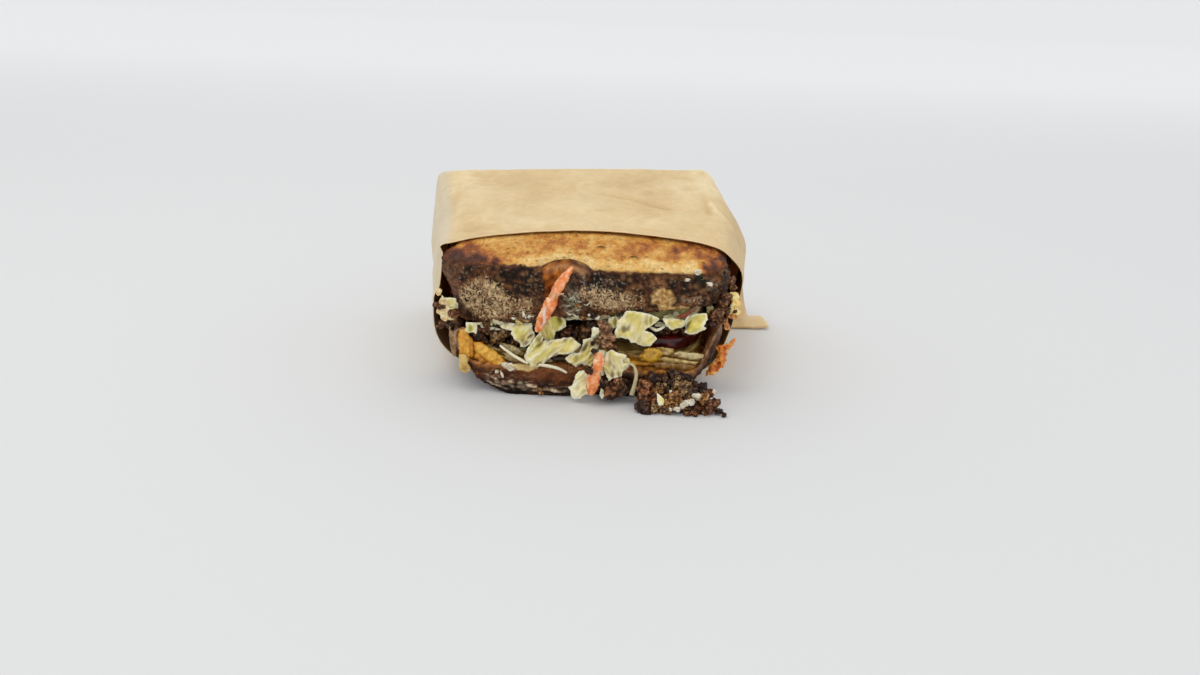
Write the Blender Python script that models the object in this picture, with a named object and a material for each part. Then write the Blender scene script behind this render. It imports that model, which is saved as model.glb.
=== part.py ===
"""Patty melt in a folded kraft paper sleeve.

Two thick slices of griddled sourdough hold melted cheese, onions, tomato, a crumbled beef patty and slaw.
The rear of the sandwich sits in a paper sleeve that is open at the front, where slaw, carrot and beef spill out.

Lengths in this file are millimetres, and MM turns them into metres where a mesh is made.
X runs to the right, Y to the rear and Z up. The origin is on the underside of the sleeve, below the middle
of the slices, and Z is zero on the surface that the sandwich stands on.
"""

import math
import random

import bmesh
import bpy
from mathutils import Matrix, Vector, noise

MM = 0.001
GAP = 0.4  # left open between pieces that touch
SEED = 7

# Slices, seen from above
HALF_WIDTH = 56.0
FRONT_DEPTH = 50.0
REAR_DEPTH = 47.0
FRONT_CORNER_POWER = 8.5
REAR_CORNER_POWER = 5.5
FRONT_NARROWING = 0.075
TOP_SIDES = 68
BOTTOM_SIDES = 64

# Top slice
TOP_FRONT_HEIGHT = 50.2
TOP_SLOPE = 0.165
TOP_LEAN = 0.024
ROOF_FRONT_HEIGHT = 31.0
ROOF_SLOPE = 0.16
ROOF_TILT = 0.105
CRUST_BULGE = 1.3
CRUST_ROUGHNESS = 0.7

# Split in the top slice's crust
SPLIT_X = -5.0
SPLIT_LEAN = 0.28
SPLIT_DEPTH = 9.0
SPLIT_HALF_WIDTH = 9.0
SPLIT_BOTTOM_HEIGHT = 35.0
SPLIT_REACH = 22.0

# Bottom slice
PAPER_LIFT = 1.05
LIFT_START = -42.0
LIFT_END = -29.0
FRONT_RIM_HEIGHT = 10.6
SIDE_RIM_HEIGHT = 26.5
REAR_RIM_HEIGHT = 22.0
FRONT_CRUMB_HEIGHT = 11.6
REAR_CRUMB_HEIGHT = 17.5
SIDE_CURL_WIDTH = 20.0
FRONT_CURL_DEPTH = 8.0
RIM_SHARE = 0.955
CRUMB_SHARE = 0.86

# Layers between the slices
CHEESE_THICKNESS = 2.0
ONION_THICKNESS = 3.0
TOMATO_THICKNESS = 5.0
TOMATO_CENTRE = (29.5, -29.5)
TOMATO_RADIUS = 15.0
SLAW_LEFT_THICKNESS = 2.6
SLAW_RIGHT_THICKNESS = 7.6
LAYER_SIDES = 40
LAYER_INSET = 9.0

# Paper sleeve
PAPER_THICKNESS = 0.6
SLEEVE_REAR = 51.8
SLEEVE_FRONT_PLANE = -40.0
SLEEVE_REAR_PLANE = 50.0
SLEEVE_SIDES = 52
SLEEVE_ROWS = 6
# Round the sleeve: X and Z at the front plane, X and Z at the rear plane, and Y of the mouth's edge
SLEEVE_SECTION = (
    (0.0, 0.0, 0.0, 0.0, -23.0),
    (26.0, 0.0, 32.0, 0.0, -23.5),
    (38.0, 0.0, 46.0, 0.0, -25.0),
    (49.2, 5.0, 56.2, 4.0, -29.0),
    (54.3, 17.5, 64.2, 11.5, -28.0),
    (56.4, 30.0, 70.6, 22.0, -23.0),
    (57.8, 40.0, 72.8, 33.6, -24.0),
    (56.9, 46.0, 69.4, 42.8, -28.5),
    (52.6, 50.2, 61.6, 54.2, -32.0),
    (49.6, 53.0, 56.0, 62.2, -33.0),
    (46.0, 53.3, 51.0, 70.0, -31.0),
    (38.0, 53.3, 42.0, 70.0, -26.5),
    (0.0, 53.3, 0.0, 69.0, -18.5),
    (-36.0, 53.3, -42.0, 66.8, -27.0),
    (-49.0, 53.3, -63.0, 65.4, -35.0),
    (-54.4, 53.2, -69.8, 64.6, -38.0),
    (-55.0, 48.5, -71.4, 59.5, -39.4),
    (-55.4, 42.8, -72.4, 50.0, -40.0),
    (-57.6, 29.0, -73.6, 32.0, -38.0),
    (-57.0, 16.0, -69.0, 14.0, -35.0),
    (-50.0, 5.0, -61.0, 4.5, -29.0),
    (-38.0, 0.0, -48.0, 0.0, -25.0),
    (-26.0, 0.0, -32.0, 0.0, -23.5),
)
CORNER_PUSH, PUSH_CORNER = 2.4, (55.5, 57.0)
# Extra samples where the section bends, in millimetres of outline for each radian
BEND_WEIGHT = 14.0

# Ear of folded paper at the sleeve's right rear corner
EAR_START = 28.0
EAR_HEIGHT = 24.0
EAR_SPREAD = 6.5
EAR_EDGE_THICKNESS = 1.0
TAB_FRONT, TAB_REAR = 34.0, 54.0
TAB_INNER, TAB_OUTER = 54.0, 83.0
TAB_THICKNESS = 1.3

# Folds that close the sleeve at the rear
FOLD_THICKNESS = 0.9
# Height, and X of both ends, of the lines across each fold
SIDE_FOLD = ((13.0, 52.0, 42.0), (33.0, 58.0, 22.0), (46.0, 58.5, 38.0), (58.0, 56.0, 53.0))
BOTTOM_FLAP = ((2.5, -38.0, 38.0), (8.0, -49.0, 49.0), (15.0, -52.0, 52.0), (41.0, -29.0, 30.0))

# Spilled beef
HEAP_CENTRE = (35.2, -58.2)
HEAP_HALF_SIZE = (13.6, 5.0)
HEAP_LEFT_HEIGHT = 10.8
HEAP_RIGHT_HEIGHT = 6.8
HEAP_CORE_SHARE = 0.9
CRUMB_COUNT = 33


def smoothstep(start, end, value):
    share = min(1.0, max(0.0, (value - start) / (end - start)))
    return share * share * (3.0 - 2.0 * share)


def lerp(a, b, share):
    return a + (b - a) * share


def wobble(x, y, z, size):
    """Smooth noise between about -1 and 1 with features of the given size in millimetres."""
    return noise.noise(Vector((x, y, z)) / size)


def clear_scene():
    for obj in list(bpy.data.objects):
        bpy.data.objects.remove(obj, do_unlink=True)


def make_material(name, colour, roughness):
    material = bpy.data.materials.new(name)
    material.use_nodes = True
    shader = material.node_tree.nodes["Principled BSDF"]
    shader.inputs["Base Color"].default_value = (*colour, 1.0)
    shader.inputs["Roughness"].default_value = roughness
    shader.inputs["Metallic"].default_value = 0.0
    material.diffuse_color = (*colour, 1.0)
    return material


def make_object(name, points, faces, material=None):
    """A mesh object from points in millimetres, with its faces turned outwards."""
    shape = bmesh.new()
    vertices = [shape.verts.new(Vector(point) * MM) for point in points]
    for face in faces:
        shape.faces.new([vertices[index] for index in face])
    bmesh.ops.recalc_face_normals(shape, faces=shape.faces)
    mesh = bpy.data.meshes.new(name)
    shape.to_mesh(mesh)
    shape.free()
    mesh.shade_smooth()
    obj = bpy.data.objects.new(name, mesh)
    bpy.context.scene.collection.objects.link(obj)
    if material:
        mesh.materials.append(material)
    return obj


def split_quad(points, a, b, c, d):
    """Two triangles that share the shorter diagonal."""
    if math.dist(points[a], points[c]) <= math.dist(points[b], points[d]):
        return [(a, b, c), (a, c, d)]
    return [(a, b, d), (b, c, d)]


def loops_solid(name, loops, first_pole, last_pole, material=None):
    """A closed solid through loops of equal length, shut at both ends by a point."""
    count = len(loops[0])
    points = [point for loop in loops for point in loop] + [first_pole, last_pole]
    first, last = len(points) - 2, len(points) - 1
    final = (len(loops) - 1) * count
    faces = []
    for row in range(len(loops) - 1):
        for k in range(count):
            after = (k + 1) % count
            low, high = row * count, (row + 1) * count
            faces += split_quad(points, low + k, low + after, high + after, high + k)
    for k in range(count):
        after = (k + 1) % count
        faces.append((first, after, k))
        faces.append((last, final + k, final + after))
    return make_object(name, points, faces, material)


def sheet_solid(name, grid, thickness, material=None):
    """A thin solid on both sides of a grid of points, with both faces split into triangles alike."""
    rows, columns = len(grid), len(grid[0])

    def normal(i, j):
        across = Vector(grid[min(i + 1, rows - 1)][j]) - Vector(grid[max(i - 1, 0)][j])
        along = Vector(grid[i][min(j + 1, columns - 1)]) - Vector(grid[i][max(j - 1, 0)])
        return across.cross(along).normalized()

    half = thickness / 2
    sides = [
        [Vector(grid[i][j]) + normal(i, j) * offset for i in range(rows) for j in range(columns)]
        for offset in (half, -half)
    ]
    below = rows * columns
    faces = []
    for i in range(rows - 1):
        for j in range(columns - 1):
            a = i * columns + j
            b, c, d = a + 1, a + columns + 1, a + columns
            faces += [(a, b, c), (a, c, d)]
            faces += [(c + below, b + below, a + below), (d + below, c + below, a + below)]
    rim = list(range(columns))
    rim += [i * columns + columns - 1 for i in range(1, rows)]
    rim += [(rows - 1) * columns + j for j in reversed(range(columns - 1))]
    rim += [i * columns for i in reversed(range(1, rows - 1))]
    for k, a in enumerate(rim):
        b = rim[(k + 1) % len(rim)]
        faces += [(b, a, a + below), (b, a + below, b + below)]
    return make_object(name, sides[0] + sides[1], faces, material)


def fuse(body, pieces):
    """Joins the pieces to the body with one Boolean union, and removes them."""
    group = bpy.data.collections.new(body.name + "_pieces")
    bpy.context.scene.collection.children.link(group)
    for piece in pieces:
        bpy.context.scene.collection.objects.unlink(piece)
        group.objects.link(piece)
    union = body.modifiers.new("union", "BOOLEAN")
    union.operation = "UNION"
    union.operand_type = "COLLECTION"
    union.collection = group
    union.solver = "MANIFOLD"
    graph = bpy.context.evaluated_depsgraph_get()
    joined = bpy.data.meshes.new_from_object(body.evaluated_get(graph))
    body.modifiers.clear()
    body.data = joined
    for piece in list(group.objects):
        bpy.data.objects.remove(piece, do_unlink=True)
    bpy.data.collections.remove(group)
    keep_outer_shell(body)


def keep_outer_shell(body):
    """Drops loose scraps and the walls of sealed hollows, so that one closed shell is left."""
    shape = bmesh.new()
    shape.from_mesh(body.data)
    unseen = set(shape.verts)
    shells = []
    while unseen:
        front = [unseen.pop()]
        shell = set(front)
        while front:
            vertex = front.pop()
            for edge in vertex.link_edges:
                other = edge.other_vert(vertex)
                if other in unseen:
                    unseen.discard(other)
                    shell.add(other)
                    front.append(other)
        shells.append(shell)
    largest = max(shells, key=len)
    scraps = [vertex for shell in shells if shell is not largest for vertex in shell]
    bmesh.ops.delete(shape, geom=scraps, context="VERTS")
    shape.to_mesh(body.data)
    shape.free()


def slice_outline(angle, inset=0.0, recess=0.0):
    """X and Y of the slices' edge at an angle, drawn in by inset, and by recess at the front."""
    across, along = math.cos(angle), math.sin(angle)
    front = along < 0.0
    power = FRONT_CORNER_POWER if front else REAR_CORNER_POWER
    depth = FRONT_DEPTH - recess if front else REAR_DEPTH - inset
    width = HALF_WIDTH - inset
    reach = (abs(across / width) ** power + abs(along / depth) ** power) ** (-1.0 / power)
    x, y = reach * across, reach * along
    return x * (1.0 - FRONT_NARROWING * smoothstep(0.0, -40.0, y)), y


def spread_angles(count, front_density=2.2):
    """Angles that step evenly round the slices' edge, closer together along the front."""
    fine = 1440
    angles = [2.0 * math.pi * k / fine for k in range(fine + 1)]
    travelled = [0.0]
    for a, b in zip(angles, angles[1:]):
        (ax, ay), (bx, by) = slice_outline(a), slice_outline(b)
        density = front_density if ay < -38.0 else 1.0
        travelled.append(travelled[-1] + math.hypot(bx - ax, by - ay) * density)
    chosen, k = [], 0
    for step in range(count):
        target = travelled[-1] * step / count
        while travelled[k + 1] < target:
            k += 1
        share = (target - travelled[k]) / (travelled[k + 1] - travelled[k])
        chosen.append(lerp(angles[k], angles[k + 1], share))
    return chosen


def edge_share(x, y):
    """How far a point lies from the middle of the slices, as a share of the way to their edge."""
    edge_x, edge_y = slice_outline(math.atan2(y, x))
    return math.hypot(x, y) / math.hypot(edge_x, edge_y)


def top_height(x, y):
    """Height of the top slice's toasted face."""
    lean = TOP_LEAN * smoothstep(-40.0, 40.0, y) * min(0.0, x)
    return TOP_FRONT_HEIGHT + TOP_SLOPE * (y + FRONT_DEPTH) + lean + 0.35 * wobble(x, y, 0.0, 17.0)


def roof_height(x, y):
    """Height of the top slice's underside."""
    tilt = ROOF_TILT * lerp(1.0, 0.35, smoothstep(-40.0, 30.0, y))
    return ROOF_FRONT_HEIGHT + ROOF_SLOPE * (y + FRONT_DEPTH) + tilt * x


def rim_height(angle):
    """Height of the bottom slice's rim, which curls up at the sides."""
    sideways = abs(math.cos(angle))
    if math.sin(angle) < 0.0:
        return lerp(FRONT_RIM_HEIGHT, SIDE_RIM_HEIGHT, smoothstep(0.66, 0.77, sideways))
    return lerp(REAR_RIM_HEIGHT, SIDE_RIM_HEIGHT, smoothstep(0.5, 0.95, sideways))


def crumb_height(x, y):
    """Height of the bottom slice's upper face."""
    floor = lerp(FRONT_CRUMB_HEIGHT, REAR_CRUMB_HEIGHT, smoothstep(-46.0, -5.0, y))
    rim = rim_height(math.atan2(y, x))
    sideways = smoothstep(0.6, 0.9, abs(x) / HALF_WIDTH)
    curl = smoothstep(CRUMB_SHARE, RIM_SHARE, edge_share(x, y)) * sideways
    return floor + max(0.0, rim - floor) * curl


def underside_height(y):
    """The bottom slice stands on the surface at the front, and on the paper behind the sleeve's mouth."""
    return PAPER_LIFT * smoothstep(LIFT_START, LIFT_END, y)


def onion_top(x, y):
    return crumb_height(x, y) + CHEESE_THICKNESS + ONION_THICKNESS + 2.0 * GAP


def slaw_base(x, y):
    thickness = lerp(SLAW_LEFT_THICKNESS, SLAW_RIGHT_THICKNESS, smoothstep(-42.0, -14.0, x))
    return roof_height(x, y) - thickness - GAP


def beef_base(x, y):
    """The beef rests on the onions, and on the tomato slice where there is one."""
    away = math.hypot(x - TOMATO_CENTRE[0], y - TOMATO_CENTRE[1]) - TOMATO_RADIUS
    return onion_top(x, y) + GAP + (TOMATO_THICKNESS + 2.0 * GAP) * smoothstep(30.0, 10.0, away)


def split_depth(x, height):
    """How deep the split in the front crust is at a place on it."""
    span = TOP_FRONT_HEIGHT - SPLIT_BOTTOM_HEIGHT
    fall = max(0.0, (TOP_FRONT_HEIGHT - height) / span)
    if fall >= 1.0:
        return 0.0
    middle = SPLIT_X - SPLIT_LEAN * (TOP_FRONT_HEIGHT - height)
    half_width = lerp(SPLIT_HALF_WIDTH, 3.5, fall)
    away = min(1.0, abs(x - middle) / half_width)
    return SPLIT_DEPTH * (1.0 - fall) ** 0.8 * math.cos(away * math.pi / 2.0) ** 1.5


def pull_into_split(x, y, height):
    """Moves a point of the top slice back where the crust is split."""
    behind_front = y + FRONT_DEPTH
    if behind_front >= SPLIT_REACH:
        return y
    share = 1.0 - max(0.0, behind_front) / SPLIT_REACH
    return y + split_depth(x, height) * share * share


def grow(x, y, distance):
    """Moves a point outwards from the middle of the slices."""
    length = math.hypot(x, y)
    return x * (1.0 + distance / length), y * (1.0 + distance / length)


def edge_rounding(y):
    """The top slice's upper edge is crisp along the front and pressed round inside the sleeve."""
    return lerp(1.0, 2.9, smoothstep(-44.0, -26.0, y))


def build_top_slice(material):
    angles = spread_angles(TOP_SIDES)
    loops = []
    for share, drop in ((0.35, 0.0), (0.62, 0.0), (0.8, 0.0), (0.92, 0.1), (0.985, 0.9)):
        loop = []
        for angle in angles:
            x, y = slice_outline(angle)
            x, y = x * share, y * share
            y = pull_into_split(x, y, TOP_FRONT_HEIGHT)
            loop.append((x, y, top_height(x, y) - drop * edge_rounding(y)))
        loops.append(loop)
    wall_rows = 5
    for row in range(wall_rows + 1):
        fall = row / wall_rows
        loop = []
        for angle in angles:
            x, y = slice_outline(angle)
            upper, lower = top_height(x, y) - 2.4 * edge_rounding(y), roof_height(x, y) + 1.2
            height = lerp(upper, lower, fall)
            bulge = CRUST_BULGE * math.sin(math.pi * min(1.0, fall * 1.1))
            rough = CRUST_ROUGHNESS * wobble(x, y, height, 6.0)
            left_taper = 5.0 * fall**1.5 * smoothstep(-30.0, -48.0, x)
            x, y = grow(x, y, bulge + rough - left_taper)
            loop.append((x, pull_into_split(x, y, height), height))
        loops.append(loop)
    for share in (0.93, 0.6, 0.3):
        loop = []
        for angle in angles:
            x, y = slice_outline(angle)
            x, y = x * share, y * share
            loop.append((x, y, roof_height(x, y)))
        loops.append(loop)
    centre_top, centre_roof = (0.0, 0.0, top_height(0.0, 0.0)), (0.0, 0.0, roof_height(0.0, 0.0))
    return loops_solid("bread_top", loops, centre_top, centre_roof, material)


def build_bottom_slice(material):
    angles = spread_angles(BOTTOM_SIDES)
    loops = []
    flat_shares = []
    for angle in angles:
        x, y = slice_outline(angle)
        sideways = smoothstep(0.5, 0.8, abs(math.cos(angle)))
        curl = lerp(FRONT_CURL_DEPTH, SIDE_CURL_WIDTH, sideways)
        flat_shares.append(1.0 - curl / math.hypot(x, y))
    for share in (0.45, 0.75, 1.0):
        loop = []
        for angle, flat in zip(angles, flat_shares):
            x, y = slice_outline(angle)
            x, y = x * flat * share, y * flat * share
            loop.append((x, y, underside_height(y)))
        loops.append(loop)
    curl_rows = 5
    for row in range(1, curl_rows + 1):
        turn = row / curl_rows * math.pi / 2.0
        loop = []
        for angle, flat in zip(angles, flat_shares):
            x, y = slice_outline(angle)
            share = lerp(flat, 1.0, math.sin(turn))
            base = underside_height(y * share)
            height = base + (rim_height(angle) - base) * (1.0 - math.cos(turn)) ** 0.9
            ridge = 0.45 * math.sin(row * 2.6 + 0.05 * x) + CRUST_ROUGHNESS * wobble(x, y, height, 7.0)
            x, y = grow(x * share, y * share, ridge * (row / curl_rows))
            loop.append((x, y, height))
        loops.append(loop)
    for share in (RIM_SHARE, 0.9, CRUMB_SHARE, 0.5):
        loop = []
        for angle in angles:
            x, y = slice_outline(angle)
            x, y = x * share, y * share
            loop.append((x, y, crumb_height(x, y)))
        loops.append(loop)
    centre_under, centre_crumb = (0.0, 0.0, underside_height(0.0)), (0.0, 0.0, crumb_height(0.0, 0.0))
    return loops_solid("bread_bottom", loops, centre_under, centre_crumb, material)


def layer_loops(recess, low, high, roughness, grain, seed, shares=(0.5, 0.93)):
    """Loops and poles of a layer that runs through the sandwich between two heights."""
    outline = [slice_outline(angle, LAYER_INSET, recess) for angle in spread_angles(LAYER_SIDES)]
    loops = [[(x * s, y * s, high(x * s, y * s)) for x, y in outline] for s in shares]
    for fall in (0.12, 0.5, 0.88):
        loop = []
        for x, y in outline:
            height = lerp(high(x, y), low(x, y), fall)
            out = roughness * wobble(x + seed, y, height * 1.3, grain)
            px, py = grow(x, y, out + 0.6 * math.sin(math.pi * fall))
            loop.append((px, py, lerp(high(px, py), low(px, py), fall)))
        loops.append(loop)
    loops += [[(x * s, y * s, low(x * s, y * s)) for x, y in outline] for s in reversed(shares)]
    return loops, (0.0, 0.0, high(0.0, 0.0)), (0.0, 0.0, low(0.0, 0.0))


def ribbon(name, path, width, thickness, side, material=None):
    """A flat strip along a path. Its width lies along the direction side."""
    across = Vector(side).normalized() * (width / 2.0)
    grid = [[Vector(point) + across * k for k in (-1.0, 0.0, 1.0)] for point in path]
    return sheet_solid(name, grid, thickness, material)


def curve_points(start, middle, end, count):
    """Points on a quadratic curve that leaves start for middle and arrives at end."""
    start, middle, end = Vector(start), Vector(middle), Vector(end)
    return [
        start.lerp(middle, t).lerp(middle.lerp(end, t), t)
        for t in (k / (count - 1) for k in range(count))
    ]


def leaf(name, centre, width, height, turn, lean, seed, thickness=0.8, rows=4, columns=4):
    """A wavy leaf of cabbage that stands up in the X and Z plane, then turns about Y and leans about X."""
    pose = (
        Matrix.Translation(Vector(centre))
        @ Matrix.Rotation(math.radians(lean), 4, "X")
        @ Matrix.Rotation(math.radians(turn), 4, "Y")
    )
    grid = []
    for i in range(rows):
        line = []
        for j in range(columns):
            u, v = 2.0 * i / (rows - 1) - 1.0, 2.0 * j / (columns - 1) - 1.0
            round_off = 1.0 - 0.22 * u * u * v * v
            ragged = 1.0 + 0.22 * wobble(u * 9.0 + seed, v * 9.0, seed, 4.0)
            x = u * width / 2.0 * round_off * ragged
            z = v * height / 2.0 * round_off * ragged
            edge = max(abs(u), abs(v))
            y = 1.5 * edge * wobble(u * 8.0, v * 8.0, seed * 1.7, 5.0) + 0.9 * u * v
            line.append(pose @ Vector((x, y, z)))
        grid.append(line)
    return sheet_solid(name, grid, thickness)


def crumb(name, centre, radius, seed, floor=-100.0):
    """An irregular crumb with few sides, cut flat where it would reach below the floor."""
    shape = bmesh.new()
    bmesh.ops.create_icosphere(shape, subdivisions=1, radius=1.0)
    points = []
    for vertex in shape.verts:
        direction = vertex.co.normalized()
        uneven = 1.0 + 0.45 * wobble(direction.x + seed, direction.y, direction.z, 0.9)
        point = Vector(centre) + direction * radius * uneven
        point.z = max(point.z, floor)
        points.append(point)
    faces = [[vertex.index for vertex in face.verts] for face in shape.faces]
    shape.free()
    return make_object(name, points, faces)


def build_cheese(material):
    def low(x, y):
        return crumb_height(x, y) + GAP

    def high(x, y):
        return crumb_height(x, y) + CHEESE_THICKNESS

    loops, first, last = layer_loops(4.2, low, high, 0.8, 9.0, 3.0)
    cheese = loops_solid("cheese", loops, first, last, material)
    block_path = curve_points((-40.6, -43.6, 14.6), (-43.2, -46.5, 29.0), (-44.0, -50.2, 17.5), 6)
    drip_path = curve_points((-44.0, -49.8, 20.0), (-45.0, -51.8, 13.0), (-44.6, -51.6, 7.6), 6)
    fold_path = curve_points((-40.0, -44.0, 15.0), (-36.6, -48.4, 19.0), (-31.0, -46.6, 14.2), 6)
    square_path = curve_points((22.5, -44.2, 12.9), (24.5, -48.6, 17.6), (25.5, -48.0, 13.6), 5)
    fuse(
        cheese,
        [
            ribbon("block", block_path, 4.0, 2.0, (1, 0.1, 0)),
            ribbon("drip", drip_path, 3.6, 1.8, (1, 0.15, 0)),
            ribbon("fold", fold_path, 4.0, 1.8, (0.25, 0.9, 0.4)),
            ribbon("square", square_path, 4.4, 1.6, (1, 0, 0)),
        ],
    )
    return cheese


def build_cheese_crisp(material):
    """Lace of browned cheese that ran out at the right, down the outside of the bottom slice."""
    grid = []
    for i in range(6):
        line = []
        for j in range(5):
            down, across = i / 5.0, j / 4.0
            width = lerp(5.0, 6.4, math.sin(math.pi * down))
            x = lerp(52.0, 48.6, down) + (across - 0.5) * width * 0.8
            ripple = 0.7 * wobble(across * 6.0, down * 9.0, 4.0, 3.0)
            y = -44.0 - 0.8 * down + (0.5 - across) * 3.4 + ripple
            line.append((x, y, lerp(20.0, 7.8, down) + 0.9 * wobble(across * 8.0, down * 4.0, 9.0, 2.5)))
        grid.append(line)
    return sheet_solid("cheese_crisp", grid, 1.3, material)


def build_onions(material):
    def low(x, y):
        return crumb_height(x, y) + CHEESE_THICKNESS + GAP

    def high(x, y):
        return onion_top(x, y) - GAP

    loops, first, last = layer_loops(6.0, low, high, 1.2, 6.0, 11.0)
    onions = loops_solid("onions", loops, first, last, material)
    draw = random.Random(SEED)
    strands = []
    for k, x in enumerate((-27.0, -21.0, 29.0, 34.0, 39.0)):
        z = crumb_height(x, -44.0) + CHEESE_THICKNESS + 2.0
        bend = draw.uniform(-2.0, 2.0)
        path = curve_points((x - 3.6, -42.6, z), (x + bend, -48.6, z + 0.9), (x + 3.6, -42.4, z - 0.3), 6)
        strands.append(ribbon(f"strand_{k}", path, 1.7, 1.3, (0, 0.1, 1)))
    fuse(onions, strands)
    return onions


def build_tomato(material):
    sides = 24
    loops = []
    for share, level in ((0.6, 1.0), (0.93, 1.0), (1.0, 0.78), (1.0, 0.22), (0.93, 0.0), (0.6, 0.0)):
        loop = []
        for k in range(sides):
            angle = 2.0 * math.pi * k / sides
            reach = TOMATO_RADIUS * share * (1.0 + 0.02 * math.sin(3.0 * angle))
            x = TOMATO_CENTRE[0] + reach * math.cos(angle)
            y = TOMATO_CENTRE[1] + reach * math.sin(angle)
            loop.append((x, y, onion_top(x, y) + 0.15 + TOMATO_THICKNESS * level))
        loops.append(loop)
    x, y = TOMATO_CENTRE
    base = onion_top(x, y) + 0.15
    return loops_solid("tomato_slice", loops, (x, y, base + TOMATO_THICKNESS), (x, y, base), material)


def build_beef(material):
    def high(x, y):
        return slaw_base(x, y) - 0.3

    loops, first, last = layer_loops(9.0, beef_base, high, 1.5, 5.0, 23.0)
    beef = loops_solid("beef_patty", loops, first, last, material)
    draw = random.Random(SEED + 1)
    lumps = []
    for k in range(13):
        x = lerp(-40.0, 38.0, k / 12.0) + draw.uniform(-1.5, 1.5)
        low, high_here = beef_base(x, -42.0), high(x, -42.0)
        radius = min(2.4, 0.45 * (high_here - low))
        centre = (x, -41.3 - draw.uniform(0.0, 1.6), (low + high_here) / 2.0)
        lumps.append(crumb(f"lump_{k}", centre, radius, k * 3.1))
    fuse(beef, lumps)
    return beef


def build_slaw(material):
    def high(x, y):
        return roof_height(x, y) - GAP

    loops, first, last = layer_loops(6.5, slaw_base, high, 0.9, 7.0, 31.0)
    slaw = loops_solid("slaw", loops, first, last, material)
    # Centre, width, height, turn and lean of each leaf that shows, from left to right
    leaves = (
        ((-22.0, -46.8, 24.2), 11.0, 9.0, 12.0, -18.0),
        ((-17.5, -48.3, 19.8), 10.0, 12.0, -28.0, -14.0),
        ((-13.4, -50.2, 15.4), 10.0, 7.0, 15.0, -8.0),
        ((-7.0, -48.8, 20.6), 9.0, 7.5, -12.0, 10.0),
        ((-5.5, -47.2, 25.6), 8.5, 7.5, 20.0, -20.0),
        ((3.0, -47.2, 26.8), 9.0, 7.0, -15.0, 16.0),
        ((13.5, -48.0, 27.2), 11.0, 9.0, 10.0, -12.0),
        ((20.0, -50.8, 28.6), 12.0, 11.0, -22.0, 18.0),
        ((27.6, -48.4, 28.8), 9.0, 7.0, 25.0, 12.0),
        ((34.5, -48.0, 30.0), 10.0, 6.5, -8.0, -15.0),
        ((40.4, -47.0, 30.8), 8.0, 7.0, 24.0, 10.0),
    )
    pieces = [
        leaf(f"leaf_{k}", centre, width, height, turn, lean, k * 2.3 + 1.0)
        for k, (centre, width, height, turn, lean) in enumerate(leaves)
    ]
    root = ((-22.0, 25.5), (-16.0, 25.0), (-6.0, 26.5), (18.0, 28.5), (35.0, 31.0))
    for k, (x, z) in enumerate(root):
        path = curve_points((x - 5.0, -42.0, z), (x, -50.0, z + 1.0), (x + 5.0, -42.5, z - 0.5), 6)
        pieces.append(ribbon(f"root_{k}", path, 2.2, 1.0, (0, 0.2, 1)))
    fuse(slaw, pieces)
    return slaw


def build_slaw_spill(material):
    """Slaw that hangs out of the middle and reaches the surface in front of the bottom slice."""
    spine = curve_points((5.0, -52.2, 26.4), (7.5, -55.2, 14.0), (6.5, -55.4, 2.4), 7)
    spill = ribbon("slaw_spill", spine, 9.0, 1.6, (1, 0, 0), material)
    leaves = (
        ((-1.8, -55.0, 6.6), 6.0, 11.5, 28.0, 6.0),
        ((-3.6, -52.6, 17.4), 8.0, 9.5, 30.0, 12.0),
        ((11.4, -55.0, 15.4), 9.0, 10.5, -20.0, -8.0),
        ((11.0, -55.6, 8.0), 7.0, 8.0, 15.0, 10.0),
        ((2.0, -53.6, 20.8), 8.0, 6.0, -10.0, 12.0),
    )
    pieces = [
        leaf(f"spill_leaf_{k}", centre, width, height, turn, lean, k * 1.9 + 5.0)
        for k, (centre, width, height, turn, lean) in enumerate(leaves)
    ]
    strand = curve_points((15.0, -54.8, 16.4), (20.4, -54.0, 13.0), (18.6, -54.2, 3.4), 6)
    pieces.append(ribbon("strand", strand, 1.5, 1.1, (1, 0.2, 0)))
    meat = (
        ((8.6, -53.2, 25.0), 2.6),
        ((9.0, -54.0, 20.8), 2.4),
        ((10.6, -55.0, 4.2), 3.4),
        ((6.2, -55.2, 11.2), 2.2),
    )
    pieces += [crumb(f"meat_{k}", centre, radius, k * 2.7) for k, (centre, radius) in enumerate(meat)]
    fuse(spill, pieces)
    return spill


def build_carrots(material):
    long_path = curve_points((-5.6, -51.4, 51.4), (-12.6, -53.4, 39.0), (-16.6, -52.2, 26.4), 8)
    ribbon("carrot_long", long_path, 3.6, 1.9, (0.9, -0.3, 0.4), material)
    spilled_path = curve_points((5.0, -58.1, 19.0), (6.2, -59.6, 11.0), (3.6, -58.6, 3.2), 6)
    ribbon("carrot_spilled", spilled_path, 3.6, 1.9, (1, 0.1, 0), material)


def build_side_filling(name, centre, offsets, material):
    """A cluster of cabbage, cheese and crumbs pressed out between the slices and the paper."""
    cluster = crumb(name, centre, 3.8, 2.0)
    cluster.data.materials.append(material)
    pieces = [
        crumb(f"{name}_{k}", Vector(centre) + Vector(offset), radius, k * 4.3 + 1.0)
        for k, (offset, radius) in enumerate(offsets)
    ]
    fuse(cluster, pieces)


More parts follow.
